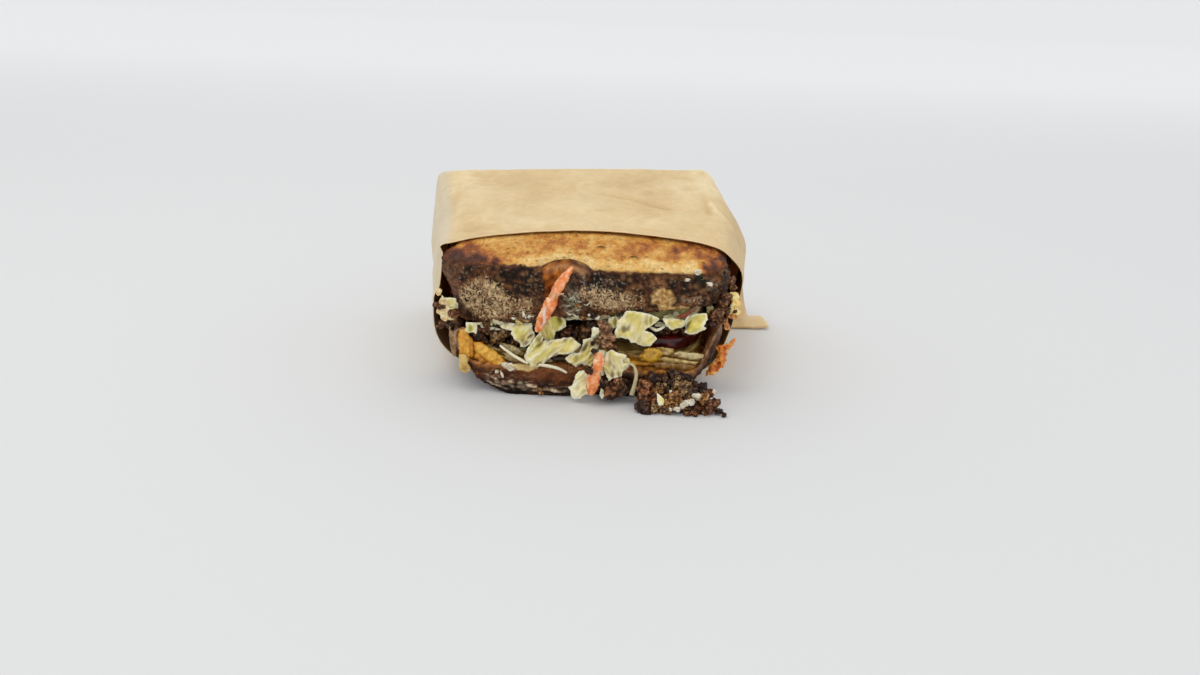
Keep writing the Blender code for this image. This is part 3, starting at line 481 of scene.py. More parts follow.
def spread(tree, value, low, high, to_low, to_high):
    inputs = {"Value": value, "From Min": low, "From Max": high, "To Min": to_low, "To Max": to_high}
    return new_node(tree, "ShaderNodeMapRange", inputs).outputs["Result"]


def mix(tree, a, b, factor, mode="MIX"):
    inputs = {0: factor, 6: a, 7: b}
    return new_node(tree, "ShaderNodeMix", inputs, data_type="RGBA", blend_type=mode).outputs[2]


def make_material(name, roughness, bumps=(), vary=(), flour=None, rough_span=0, **sockets):
    """A material whose colour is the mesh's tint, broken up by noise. Bumps are size, strength and depth.

    Flour is the size of its grains, its pale and deep colours and its softness. It lies where the mesh's
    mark is.
    """
    material = bpy.data.materials.new(name)
    material.use_nodes = True
    tree = material.node_tree
    shader = tree.nodes["Principled BSDF"]
    place = new_node(tree, "ShaderNodeTexCoord").outputs["Object"]
    colour = new_node(tree, "ShaderNodeAttribute", attribute_name="tint").outputs["Color"]
    for size, amount in vary:
        grain = spread(tree, noise_node(tree, place, size, 4), 0.3, 0.7, 1 - amount, 1 + amount)
        colour = mix(tree, colour, grain, 1, "MULTIPLY")
    if flour:
        size, pale, deep, softness = flour
        mark = new_node(tree, "ShaderNodeAttribute", attribute_name="mark").outputs["Fac"]
        grain = noise_node(tree, place, size, 3, 0.6)
        reach = new_node(tree, "ShaderNodeMath", {0: grain, 1: mark}, operation="ADD").outputs[0]
        share = spread(tree, reach, 1 - softness, 1 + softness, 0, 1)
        tone = spread(tree, noise_node(tree, place, size * 2.2, 2), 0.35, 0.65, 0, 1)
        colour = mix(tree, colour, mix(tree, (*rgb(deep), 1), (*rgb(pale), 1), tone), share)
    set_input(tree, shader.inputs["Base Color"], colour)
    if rough_span:
        grain = noise_node(tree, place, 1.7)
        roughness = spread(tree, grain, 0.3, 0.7, roughness - rough_span, roughness + rough_span)
    set_input(tree, shader.inputs["Roughness"], roughness)
    normal = {}
    for size, strength, depth in bumps:
        inputs = {"Height": noise_node(tree, place, size, 3), "Strength": strength, "Distance": depth * MM}
        normal = {"Normal": new_node(tree, "ShaderNodeBump", inputs | normal).outputs["Normal"]}
    for key, value in normal.items():
        set_input(tree, shader.inputs[key], value)
    for key, value in sockets.items():
        shader.inputs[key.replace("_", " ")].default_value = value
    return material


DULL = {"Specular_IOR_Level": 0.16}
FLESH = {"Subsurface_Weight": 0.4, "Subsurface_Radius": (1, 0.7, 0.35), "Subsurface_Scale": 0.0012}
MOIST = {"Coat_Weight": 0.3, "Coat_Roughness": 0.14, **FLESH}
THIN = {"Subsurface_Weight": 0.6, "Subsurface_Radius": (1, 0.85, 0.62), "Subsurface_Scale": 0.0007}
FLOUR = (0.8, (226, 197, 150), (150, 118, 82), 0.05)

paper_bumps = ((9, 0.35, 0.6), (2.2, 0.3, 0.16), (0.5, 0.35, 0.05))
paper_grain = ((26, 0.05), (2, 0.035), (0.5, 0.04))
paper = make_material("kraft_paper", 0.66, paper_bumps, paper_grain, None, 0.06, **THIN, **DULL)
bread_bumps = ((2.4, 0.8, 0.8), (0.9, 1, 0.7), (0.4, 0.9, 0.3))
bread = make_material("toasted_bread", 0.56, bread_bumps, ((2.6, 0.14), (0.7, 0.24)), FLOUR, 0.2, **DULL)
beef_bumps = ((0.9, 0.7, 0.35), (0.35, 0.7, 0.14))
beef_shine = {"Coat_Weight": 0.12, "Coat_Roughness": 0.2, **DULL}
beef = make_material("crumbled_beef", 0.5, beef_bumps, ((1.3, 0.26), (0.4, 0.3)), None, 0.16, **beef_shine)
tomato_bumps = ((3, 0.3, 0.25), (0.7, 0.25, 0.06))
tomato_shine = {"Coat_Weight": 0.6, "Coat_Roughness": 0.08, **DULL}
tomato = make_material("tomato_flesh", 0.3, tomato_bumps, ((2, 0.2),), **tomato_shine)
cheese, crisp, onion, cabbage, carrot, sauce = (
    make_material(name, roughness, bumps, vary, **MOIST)
    for name, roughness, bumps, vary in (
        ("melted_cheese", 0.36, ((2.5, 0.4, 0.3), (0.8, 0.4, 0.12)), ((2, 0.1), (0.5, 0.1))),
        ("browned_cheese", 0.4, ((1.2, 0.6, 0.3), (0.4, 0.6, 0.1)), ((1.4, 0.25), (0.4, 0.2))),
        ("grilled_onion", 0.3, ((1.5, 0.3, 0.15),), ((2.2, 0.14), (0.6, 0.1))),
        ("cabbage_leaf", 0.38, ((1.6, 0.35, 0.2), (0.5, 0.3, 0.06)), ((2.2, 0.07), (0.6, 0.08))),
        ("carrot_flesh", 0.36, ((1, 0.4, 0.16), (0.4, 0.3, 0.06)), ((1.2, 0.12), (0.4, 0.1))),
        ("dressing", 0.24, ((1.4, 0.4, 0.2), (0.5, 0.3, 0.08)), ((1, 0.12),)),
    )
)


# Forms that the slices and layers share
def outline(angle, inset=0, recess=0):
    across, along = np.cos(angle), np.sin(angle)
    power = np.where(along < 0, FRONT_CORNER_POWER, REAR_CORNER_POWER)
    depth = np.where(along < 0, FRONT_DEPTH - recess, REAR_DEPTH - inset)
    reach = (np.abs(across / (HALF_WIDTH - inset)) ** power + np.abs(along / depth) ** power) ** (-1 / power)
    x, y = reach * across, reach * along
    return x * (1 - FRONT_NARROWING * step(0, -40, y)), y


def spread_angles(near, far, edge=-30):
    """Angles round the slices' edge, near millimetres apart in front of edge and far apart behind it."""
    angle = np.linspace(0, 2 * np.pi, 6001)
    x, y = outline(angle)
    length = np.hypot(np.diff(x), np.diff(y)) / np.where(y[:-1] < edge, near, far)
    travelled = np.concatenate([[0], np.cumsum(length)])
    count = int(round(travelled[-1]))
    return np.interp(travelled[-1] * np.arange(count) / count, travelled, angle)


def edge_share(x, y):
    edge_x, edge_y = outline(np.arctan2(y, x))
    return np.hypot(x, y) / np.maximum(np.hypot(edge_x, edge_y), 1e-6)


def top_height(x, y):
    lean = TOP_LEAN * step(-40, 40, y) * np.minimum(0, x)
    return TOP_FRONT_HEIGHT + TOP_SLOPE * (y + FRONT_DEPTH) + lean


def roof_height(x, y):
    tilt = ROOF_TILT * lerp(1, 0.35, step(-40, 30, y))
    return ROOF_FRONT_HEIGHT + ROOF_SLOPE * (y + FRONT_DEPTH) + tilt * x


def rim_height(angle):
    sideways = np.abs(np.cos(angle))
    front = lerp(FRONT_RIM_HEIGHT, SIDE_RIM_HEIGHT, step(0.66, 0.77, sideways))
    rear = lerp(REAR_RIM_HEIGHT, SIDE_RIM_HEIGHT, step(0.5, 0.95, sideways))
    return np.where(np.sin(angle) < 0, front, rear)


def crumb_height(x, y):
    floor = lerp(FRONT_CRUMB_HEIGHT, REAR_CRUMB_HEIGHT, step(-46, -5, y))
    sideways = step(0.6, 0.9, np.abs(x) / HALF_WIDTH)
    curl = step(CRUMB_SHARE, RIM_SHARE, edge_share(x, y)) * sideways
    return floor + np.maximum(0, rim_height(np.arctan2(y, x)) - floor) * curl


def underside_height(y):
    return PAPER_LIFT * step(LIFT_START, LIFT_END, y)


def onion_top(x, y):
    return crumb_height(x, y) + CHEESE_THICKNESS + ONION_THICKNESS + 2 * GAP


def slaw_base(x, y):
    thickness = lerp(SLAW_LEFT_THICKNESS, SLAW_RIGHT_THICKNESS, step(-42, -14, x))
    return roof_height(x, y) - thickness - GAP


def beef_base(x, y):
    away = np.hypot(x - TOMATO_CENTRE[0], y - TOMATO_CENTRE[1]) - TOMATO_RADIUS
    return onion_top(x, y) + GAP + (TOMATO_THICKNESS + 2 * GAP) * step(30, 10, away)


def split_depth(x, height):
    fall = np.maximum(0, (TOP_FRONT_HEIGHT - height) / (TOP_FRONT_HEIGHT - SPLIT_BOTTOM_HEIGHT))
    middle = SPLIT_X - SPLIT_LEAN * (TOP_FRONT_HEIGHT - height)
    half_width = lerp(SPLIT_HALF_WIDTH, SPLIT_FOOT_HALF_WIDTH, np.minimum(fall, 1))
    away = np.minimum(1, np.abs(x - middle) / half_width)
    return SPLIT_DEPTH * cap(1 - fall) ** 0.8 * np.cos(away * np.pi / 2)


def pull_into_split(x, y, height):
    share = cap(1 - np.maximum(0, y + FRONT_DEPTH) / SPLIT_REACH)
    return y + split_depth(x, height) * share * share


def grow(x, y, distance):
    length = np.hypot(x, y)
    return x * (1 + distance / length), y * (1 + distance / length)


def level_row(x0, y0, share, height):
    """A row of the outline drawn in by a share, at the height there."""
    x, y = x0 * share, y0 * share
    return np.stack([x, y, height(x, y)], 1)


def close_loops(loops, moved, ends, tint, mark=None):
    """A shape of closed loops whose ends meet at two heights in the middle.

    Tint includes the two ends, and mark doesn't.
    """
    points = np.concatenate([moved, [[0, 0, float(end)] for end in ends]])
    faces = loop_faces(*loops.shape[:2])
    return Shape(points, faces, tint, 0 if mark is None else np.concatenate([mark, [0, 0]]))


# The top slice
# Amount, centre and radii of browner places on the toasted face, and of char, blisters, scars and flour
BROWNED = (
    (0.7, (-50, -41, 51), (11, 13, 20)),
    (0.4, (-37, -47.5, 51), (10, 3, 20)),
    (0.24, (36, -33, 53), (24, 9, 20)),
    (0.46, (51, -42, 51), (6, 12, 20)),
    (0.45, (44.5, -47, 51), (3.4, 5, 20)),
)
CHARRED = (
    (0.25, (-22, -51, 44), (14, 9, 6)),
    (0.3, (2, -51, 45), (9, 9, 5)),
    (0.25, (47, -49, 42), (7, 9, 6)),
)
BLISTERED = ((1, (27.8, -51, 40), (4.9, 12, 4)), (0.9, (33, -51, 35.8), (4.4, 12, 1.3)))
SCARRED = ((0.8, (38.2, -51, 40), (5.2, 12, 1.9)), (0.7, (45.6, -50, 45.4), (2.4, 12, 2.6)))
FLOURED = (
    (0.42, (-36, -51, 40), (8, 12, 5.5)),
    (0.46, (-41, -51, 34.5), (8, 12, 6.5)),
    (0.32, (-32, -51, 33), (10, 12, 5.4)),
    (0.3, (-22, -51, 35), (5, 12, 4)),
    (0.26, (4, -51, 39), (8, 12, 5)),
    (0.26, (14, -51, 37.5), (9, 12, 5)),
    (0.2, (41, -51, 39.5), (7, 12, 3.6)),
    (0.11, (12, -51, 42), (22, 12, 7)),
)
# X and Y of the two small holes in the toasted face
HOLES = ((4.8, -32.8), (16.9, -40.8))


def top_slice_rows(angles):
    x0, y0 = outline(angles)
    rounding = lerp(1, 2.9, step(-44, -26, y0))
    rows = []
    for share, drop in ((0.35, 0), (0.62, 0), (0.8, 0), (0.92, 0.1), (0.985, 0.9)):
        rows.append(level_row(x0, y0, share, lambda x, y: top_height(x, y) - drop * rounding))
    for fall in np.arange(6) / 5:
        height = lerp(top_height(x0, y0) - 2.4 * rounding, roof_height(x0, y0) + 1.2, fall)
        bulge = 1.3 * math.sin(math.pi * min(1, fall * 1.1)) - 5 * fall**1.5 * step(-30, -48, x0)
        rows.append(np.stack([*grow(x0, y0, bulge), height], 1))
    return rows + [level_row(x0, y0, share, roof_height) for share in (0.93, 0.6, 0.3)]


def top_slice_surface():
    """Smooth points of the top slice, and how far face, wall, split, bumps, pits and pebbles reach there.

    Places count the rows: 0 to 4 on the face, 5 to 10 down the crust and 11 to 13 under the slice.
    """
    angles = spread_angles(0.44, 3)
    loops, places = refine_rows(top_slice_rows(angles), [16, 16, 15, 10, 6, 9, 9, 9, 9, 9, 5, 5, 2])
    s = SimpleNamespace(loops=loops, p=loops.reshape(-1, 3), place=np.repeat(places, len(angles)))
    p, place = s.p, s.place
    s.wall = step(4.15, 4.6, place) * step(11.2, 10.6, place)
    s.top = step(4.6, 4.15, place)
    pulled = pull_into_split(p[:, 0], p[:, 1], np.where(place < 4.6, TOP_FRONT_HEIGHT, p[:, 2]))
    s.split = np.where(place < 11, pulled - p[:, 1], 0)
    s.bumps = 0.55 * noise(p, 6, 1) + 0.6 * noise(p, 2.6, 2) + 0.4 * noise(p, 1.1, 3)
    s.bumps -= 0.5 * np.abs(noise(p, 1.9, 3.5))
    near, which = cells(p, 3, 1)
    s.pits = s.top * 0.7 * cap(1 - near / 0.26) * (which > 0.45)
    holes = sum(np.exp(-(((p[:, 0] - x) / 1.5) ** 2) - ((p[:, 1] - y) / 0.5) ** 2) for x, y in HOLES)
    s.holes = holes * s.top * 1.1
    pebble, s.kind = cells(p, 2, 6)
    s.pebbles = s.wall * cap(1 - pebble / 0.62) * step(-54, -46, p[:, 0])
    return s


def lifted_top_slice(s):
    p = s.p
    moved = p.copy()
    moved[:, 1] += s.split
    moved[:, 2] += cap(s.split / 5) * bell(s.place, 4.5, 0.7)
    flakes = 0.5 * np.maximum(0, noise(p * [0.6, 1, 1.6], 3.2, 4))
    face = s.top * (0.2 * noise(p, 4, 5) + 0.16 * noise(p, 1.5, 6) + 0.08 * noise(p, 0.8, 5.5))
    rim = bell(s.place, 4.35, 0.5) * (0.35 * noise(p, 1.8, 7) + 0.4 * noise(p, 4.5, 8))
    rise = s.wall * (s.bumps + flakes) + 0.45 * s.pebbles - s.pits - s.holes + face + rim
    moved += loop_normals(moved.reshape(s.loops.shape)) * rise[:, None]
    corner = step(-33, -39, p[:, 1]) * step(38, 46, p[:, 2]) * step(-38, -50, p[:, 0])
    moved[:, 0] -= 1.5 * corner
    return moved


def toasted_face(s):
    drawn = s.p * [1, 0.5, 1]
    x, y, _ = s.p.T
    toast = 0.36 + 0.22 * fbm(drawn, 8, 2, 1) + 0.16 * noise(drawn, 3.6, 9.5)
    toast += 0.14 * noise(drawn, 1.8, 9) + 0.13 * noise(drawn, 0.9, 10)
    toast += (1 + 0.7 * noise(drawn, 3, 11)) * spots(s.p, BROWNED)
    toast -= 0.26 * step(-40, -46, y) * step(-34, -22, x) * step(46, 38, x)
    pale = ((0, 242, 206, 138), (0.22, 230, 180, 100), (0.42, 212, 148, 66))
    crumb = ramp(toast, *pale, (0.62, 180, 108, 48), (0.82, 126, 70, 42), (1.05, 80, 46, 32))
    # Painted shade in the pits and painted shadow in the two holes.
    crumb = blend(crumb, (84, 44, 26), 0.7 * cap(s.pits / 0.4))
    return blend(crumb, (34, 18, 14), s.holes / 0.6)


def charred_crust(s):
    """The char, the pebbles and the lit left corner of the top slice's crust."""
    p = s.p
    # Lighter on the bumps and darker in their hollows: painted shade.
    dark = 0.5 + 0.3 * fbm(p, 6, 2, 12) + 0.34 * noise(p, 1.8, 13) + 0.2 * noise(p, 0.9, 13.5) - 0.3 * s.bumps
    dark += spots(p, CHARRED)
    crust = ramp(dark, (0, 150, 106, 68), (0.28, 120, 74, 42), (0.55, 76, 45, 26), (0.85, 34, 21, 14))
    crust = blend(crust, (158, 116, 74), 0.8 * s.pebbles * (s.kind > 0.66))
    crust = blend(crust, (22, 15, 12), 0.8 * s.pebbles * (s.kind < 0.25))
    lit = 0.6 * spot(p, (-50.5, -46, 38), (5, 9, 12))
    return blend(crust, (128, 88, 64), lit * (1 + 0.6 * noise(p, 1.6, 14.5)))


def marked_crust(s, crust):
    """The crust with its blisters, painted shadow under them, scars, painted glints and speckled highlights,
    a smear of dressing, and where the blisters are.
    """
    p = s.p
    ragged = p + (1.2 * noise(p, 2.4, 14))[:, None]
    blister, scar = spots(ragged, BLISTERED), spots(ragged, SCARRED)
    tan = ramp(noise(p, 1.2, 16), (-0.6, 164, 118, 62), (0, 208, 164, 98), (0.6, 236, 204, 148))
    crust = blend(crust, tan, cap(3 * blister - 1, 0.96))
    crust = blend(crust, (150, 132, 112), cap(2.2 * scar - 0.7, 0.8) * (noise(p, 1, 15.5) > -0.1))
    # A painted shadow under the blisters' lower edge.
    crust = blend(crust, (30, 20, 18), 0.8 * bell(blister, 0.36, 0.12) * (p[:, 2] < 40))
    glints = spot(p, (2.4, -51, 45.2), (6.4, 9, 3)) * (noise(p, 0.8, 16.5) > 0.34)
    crust = blend(crust, (140, 144, 142), 0.7 * cap(1.5 * glints))
    # Pale flecks painted over the char as highlights.
    speck_highlights = (noise(p, 0.8, 16.7) > 0.42) * (noise(p, 5, 16.8) > -0.15)
    crust = blend(crust, (150, 134, 112), 0.5 * speck_highlights)
    smear = spot(p, (-5, -51, 37), (4.6, 12, 6.4)) * (0.8 + 0.5 * noise(p, 2.2, 17))
    grey = ramp(noise(p, 0.9, 18), (-0.5, 72, 58, 42), (0, 128, 112, 88), (0.5, 192, 178, 152))
    return blend(crust, grey, cap(1.5 * smear - 0.3, 0.82)), blister


def build_top_slice():
    s = top_slice_surface()
    p, place, (x, _, z) = s.p, s.place, s.p.T
    crumb, (crust, blister) = toasted_face(s), marked_crust(s, charred_crust(s))

    # The torn left side of the split and its lip
    left_of_split = step(SPLIT_X + 3, SPLIT_X + 0.5, x + SPLIT_LEAN * (TOP_FRONT_HEIGHT - z))
    torn = cap(s.split / 2) * left_of_split * s.wall
    # Lighter towards the top of the split and darker deeper in it: painted light and shade on the torn crumb.
    depth = noise(p, 2.4, 19) + 0.1 * (z - 44)
    crust = blend(crust, ramp(depth, (-0.7, 104, 48, 16), (0, 176, 94, 28), (0.9, 220, 138, 54)), torn)
    crust = blend(crust, (200, 146, 96), 0.85 * cap(s.split / 3) * bell(place, 5.15, 0.32))

    # The brown line between the face and the crust, which runs higher left of the split
    left = step(-46, -38, x) * step(-4, -14, x)
    line = bell(place + 0.4 * left, 4.55, 0.36) * (0.6 + 0.6 * noise(p, 2.2, 20))
    higher = 0.5 * left * (z > 40)
    uneven = 0.26 * noise(p, 1.8, 21) + 0.2 * noise(p, 4.5, 21.5)
    tint = blend(crumb, crust, step(4.3, 4.65, place + higher + uneven))
    tint = blend(tint, (106, 62, 40), cap(0.9 * line + cap(s.split / 3, 0.8) * line, 0.95))

    flour = np.minimum(spots(p, FLOURED), 0.36) + 0.19
    flour = flour * (1 + 0.16 * noise(p, 2, 22)) + 0.05 * noise(p, 5, 23) + 0.05 * s.bumps
    flour = s.wall * flour * (1 - 0.8 * torn) * (1 - cap(1.5 * blister))
    ends = (top_height(0, 0), roof_height(0, 0))
    tint = np.concatenate([tint, crumb[:1], crust[-1:]])
    shape = close_loops(s.loops, lifted_top_slice(s), ends, tint, flour)
    piece("slice_top", [shape], bread, ["bread_top"])


# The bottom slice
# X and Z of the pale flaky lines along the front of the crust
FLAKE_LINES = (
    ((-38, -34, -27.6, -19.9, -14), (7.3, 6.3, 5.2, 4.1, 3.8)),
    ((-37, -33.6, -25.9, -19), (5.9, 5.2, 3.5, 2.9)),
    ((-37, -34.9, -28, -20), (4.3, 3.8, 2.2, 1.8)),
    ((-19.5, -16.5, -13, -6.2, -2), (2.2, 2.5, 2.9, 2.3, 2.1)),
)
# Amount, centre and radii of the places where the crust is flaky
FLAKY = (
    (1, (-29, -48, 9.5), (8, 9, 2.4)),
    (1, (-27, -48, 5.4), (9, 9, 2.6)),
    (1, (-13, -48, 4.4), (8, 9, 2.2)),
)


def bottom_slice_rows(angles):
    x0, y0 = outline(angles)
    sideways = step(0.5, 0.8, np.abs(np.cos(angles)))
    front = step(-20, -40, y0) * step(48, 36, np.abs(x0))
    curl = lerp(lerp(FRONT_CURL_DEPTH, FOOT_CURL_DEPTH, front), SIDE_CURL_WIDTH, sideways)
    flat = 1 - curl / np.hypot(x0, y0)
    rows = []
    for share in (0.45, 0.75, 1):
        rows.append(level_row(x0 * flat, y0 * flat, share, lambda x, y: underside_height(y)))
    for turn in np.arange(1, 6) / 5 * math.pi / 2:
        share = lerp(flat, 1, math.sin(turn))
        base = underside_height(y0 * share)
        height = base + (rim_height(angles) - base) * (1 - math.cos(turn)) ** 0.9
        rows.append(np.stack([x0 * share, y0 * share, height], 1))
    return rows + [level_row(x0, y0, share, crumb_height) for share in (RIM_SHARE, 0.9, CRUMB_SHARE, 0.5)]


def flake_marks(p, wall):
    """The pale flaky lines along the foot of the crust, and the grooves below them."""
    streak, groove = np.zeros(len(p)), np.zeros(len(p))
    sway = 0.5 * noise(p * [1, 1, 0.2], 7, 33.5) + 0.3 * noise(p, 1.5, 33.6)
    for flake_x, flake_z in FLAKE_LINES:
        start, end = flake_x[0], flake_x[-1]
        above = p[:, 2] + sway - np.interp(p[:, 0], flake_x, flake_z)
        share = wall * (p[:, 1] < -40) * step(start, start + 3, p[:, 0]) * step(end, end - 3, p[:, 0])
        streak += share * bell(above, 0, 0.55) * cap(0.55 + 1.5 * noise(p, 2.6, 33.8), 1.2)
        groove += share * bell(above, -1.1, 0.5)
    return streak, groove


def bottom_slice_surface():
    """Points of the bottom slice before and after its relief, and its crust, ridges, flakes and pits.

    Places count the rows: 0 to 2 under the slice, 3 to 7 up the crust and 8 to 11 on the crumb.
    """
    angles = spread_angles(0.5, 3.2)
    loops, places = refine_rows(bottom_slice_rows(angles), [3, 5, 7, 7, 7, 7, 7, 6, 6, 6, 9])
    s = SimpleNamespace(loops=loops, p=loops.reshape(-1, 3), place=np.repeat(places, len(angles)))
    p, place = s.p, s.place
    s.wall = step(1.8, 3.2, place) * step(7.6, 7, place)
    inner = step(7, 7.6, place)
    lengths = np.linalg.norm(np.diff(loops, axis=0), axis=2)
    travelled = np.concatenate([[0 * angles], np.cumsum(lengths, axis=0)]).ravel()
    warp = 2 * noise(p * [0.35, 0.35, 1], 6, 31) + 0.8 * noise(p, 2.2, 32)
    ridge = 1 - 2 * np.abs(np.mod(travelled / 2.3 + warp * 0.5, 1) - 0.5)
    s.ridged = s.wall * step(0.55, 1, ridge) * (0.55 + 0.5 * noise(p, 5, 33))
    s.lumps = s.wall * (0.45 * noise(p, 6, 34) + 0.3 * noise(p, 2.2, 35) + 0.15 * noise(p, 1, 36))
    s.streak, s.groove = flake_marks(p, s.wall)
    near, which = cells(p, 3, 2)
    s.pits = inner * 0.6 * cap(1 - near / 0.35) * (which > 0.5)
    rough = inner * (0.3 * noise(p, 2.6, 37) + 0.16 * noise(p, 1.1, 38))
    rise = 0.55 * s.ridged + s.lumps + rough - s.pits + 0.35 * s.streak - 0.45 * s.groove
    s.moved = p + loop_normals(loops) * rise[:, None]
    x, y, z = p.T
    foot = step(8, 2, z) * step(-41, -31, x) * step(4, -6, x) * step(-40, -45, y)
    s.moved[:, 1] -= 2.3 * foot * step(7.6, 7, place)
    s.moved[:, 2] = np.maximum(s.moved[:, 2], np.minimum(z, 0.02))
    return s


def bottom_crust(s):
    p, (x, y, z) = s.p, s.p.T
    low_front = step(13, 8, z) * step(-40, -46, y)
    # Darker in the hollows between lumps, near the foot and at the low front: painted shade.
    dark = 0.5 + 0.34 * fbm(p, 6, 2, 41) + 0.3 * noise(p, 1.6, 42) + 0.2 * noise(p, 0.8, 42.5) - 0.4 * s.lumps
    dark += 0.16 * step(6.5, 3, z) + 0.14 * low_front * step(-38, -30, x)
    crust = ramp(dark, (0, 172, 108, 60), (0.3, 108, 61, 33), (0.6, 64, 35, 20), (0.95, 30, 18, 12))
    red = spot(p, (-14, -48, 8.6), (15, 9, 2.6)) * (0.7 + 0.6 * noise(p, 2.4, 42.8))
    crust = blend(crust, (140, 80, 44), cap(0.9 * red, 0.8))
    flaky = cap(1.7 * s.ridged - 0.5 + 0.5 * noise(p, 2.6, 44))
    flake = ramp(noise(p, 1.3, 43), (-0.5, 140, 96, 64), (0.6, 232, 200, 158))
    crust = blend(crust, flake, flaky * cap(0.06 + 0.9 * spots(p, FLAKY) + 0.3 * (1 - low_front), 0.9))
    flake = ramp(noise(p, 0.9, 43.5), (-0.6, 168, 124, 90), (0.4, 246, 220, 184))
    crust = blend(crust, flake, cap(1.2 * s.streak, 0.95))
    # Painted shadow in the grooves under the flaky lines.
    crust = blend(crust, (24, 15, 11), cap(0.6 * s.groove, 0.7))
    edge = bell(s.place, 7.1, 0.45) * (0.6 + 0.35 * step(40, 47, x))
    rim = blend((184, 120, 66), (186, 150, 116), step(8, 20, np.abs(x + 20) - 16))
    crust = blend(crust, rim, edge * (0.7 + 0.6 * noise(p, 1.6, 45)))
    return blend(crust, (160, 124, 92), cap(spot(p, (-47.5, -46, 20), (3.4, 8, 8)), 0.85))


def build_bottom_slice():
    s = bottom_slice_surface()
    p = s.p
    toast = 0.42 + 0.22 * fbm(p, 5, 2, 46) + 0.2 * noise(p, 1.2, 47) - 0.12 * step(-20, -40, p[:, 0])
    crumb = ramp(toast, (0, 232, 178, 120), (0.35, 204, 140, 84), (0.65, 156, 92, 46), (1, 88, 48, 28))
    soaked = spot(p, (27.5, -49, 12.8), (12, 8, 4))
    juice = ramp(noise(p, 1.8, 47.5), (-0.5, 104, 56, 18), (0.2, 166, 108, 38), (0.7, 226, 152, 60))
    crumb = blend(crumb, juice, cap(1.4 * soaked, 0.9))
    # Painted shade in the pits.
    crumb = blend(crumb, (72, 38, 22), cap(s.pits / 0.4, 0.8))
    crust = blend(bottom_crust(s), juice, cap(1.2 * soaked - 0.1, 0.8))
    tint = blend(crust, crumb, step(7.05, 7.5, s.place + 0.15 * noise(p, 1.8, 48)))
    flour = s.wall * (0.1 + 0.14 * noise(p, 4, 49) + 0.12 * spot(p, (48, -48, 18), (5, 8, 12)))
    ends = (underside_height(0), crumb_height(1e-3, 0))
    shape = close_loops(s.loops, s.moved, ends, np.concatenate([tint, crust[:1], crumb[-1:]]), flour)
    piece("slice_bottom", [shape], bread, ["bread_bottom"])


# The layers between the slices
def build_layer(recess, low, high, tint, bumps, droop=0, near=0.9, hollow=None):
    """A layer through the sandwich between two heights. Bumps are (size, height, seed) of its uneven edge.

    Hollow is the centre, radii and depth of a hollow pushed into its front, with painted shadow in it.
    """
    angles = spread_angles(near, 5, -34)
    x0, y0 = outline(angles, LAYER_INSET, recess)
    rows = [level_row(x0, y0, share, high) for share in (0.5, 0.93)]
    for fall in (0.12, 0.5, 0.88):
        x, y = grow(x0, y0, 0.6 * math.sin(math.pi * fall))
        rows.append(np.stack([x, y, lerp(high(x, y), low(x, y), fall) - droop * math.sin(math.pi * fall)], 1))
    rows += [level_row(x0, y0, share, low) for share in (0.93, 0.5)]
    loops, places = refine_rows(rows, [10, 6, 4, 4, 6, 4])
    p = loops.reshape(-1, 3)
    rise = sum(height * noise(p, size, seed) for size, height, seed in bumps)
    edge = np.repeat(step(0.2, 1.2, places) * step(5.8, 4.8, places), len(angles))
    moved = p + loop_normals(loops) * (rise * edge)[:, None]
    dark = np.zeros(len(p))
    if hollow:
        centre, radii, depth = hollow
        dark = spot(p, centre, radii)
        moved[:, 1] += depth * dark
    ends = (high(1e-3, 0), low(1e-3, 0))
    points = np.concatenate([moved, [[0, 0, float(end)] for end in ends]])
    colours = tint(points, np.concatenate([rise, [0, 0]]))
    # Painted shadow in the hollow.
    colours = blend(colours, (34, 20, 12), np.concatenate([cap(1.8 * dark, 0.94), [0, 0]]))
    return close_loops(loops, moved, ends, colours)


# Crevice, middle and crest colours of the crumbs, which paint shade into the crevices and highlight onto the
# crests
DARK = ((18, 9, 5), (60, 36, 24), (126, 90, 64))
BROWN = ((30, 14, 7), (102, 62, 36), (182, 132, 88))
GREY = ((46, 29, 15), (142, 106, 66), (208, 176, 126))
RED = ((36, 15, 8), (112, 64, 35), (184, 126, 80))
PALE = ((84, 52, 32), (160, 116, 80), (210, 170, 130))
TAN = ((42, 22, 10), (148, 98, 48), (208, 160, 98))
CREAM = ((190, 176, 140), (230, 222, 200), (250, 246, 236))
YELLOW = ((170, 130, 44), (234, 200, 112), (250, 238, 190))
ORANGE = ((150, 78, 26), (222, 148, 72), (250, 206, 128))


def cheese_tint(points, rise):
    tone = 0.5 + 0.35 * noise(points, 4, 51) + 0.2 * noise(points, 1.2, 52)
    return shades(tone, ((186, 110, 10), (224, 156, 26), (246, 196, 70)))


def onion_tint(points, rise):
    tone = 0.5 + 0.4 * noise(points, 4, 55) + 0.2 * noise(points, 1.4, 56)
    return shades(tone, ((136, 98, 40), (190, 156, 84), (232, 214, 156)))


def beef_tint(points, rise):
    # Painted shade: darker where the layer's relief sinks, lighter where it rises.
    tone = 0.5 + 0.7 * rise + 0.2 * noise(points, 1.2, 57)
    return shades(tone, ((22, 13, 11), (56, 36, 28), (104, 74, 54)))


def slaw_tint(points, rise):
    tone = 0.4 + 0.5 * noise(points, 4, 58) + 0.3 * noise(points, 1.4, 59)
    return shades(tone, ((128, 112, 56), (196, 182, 108), (234, 222, 172)))


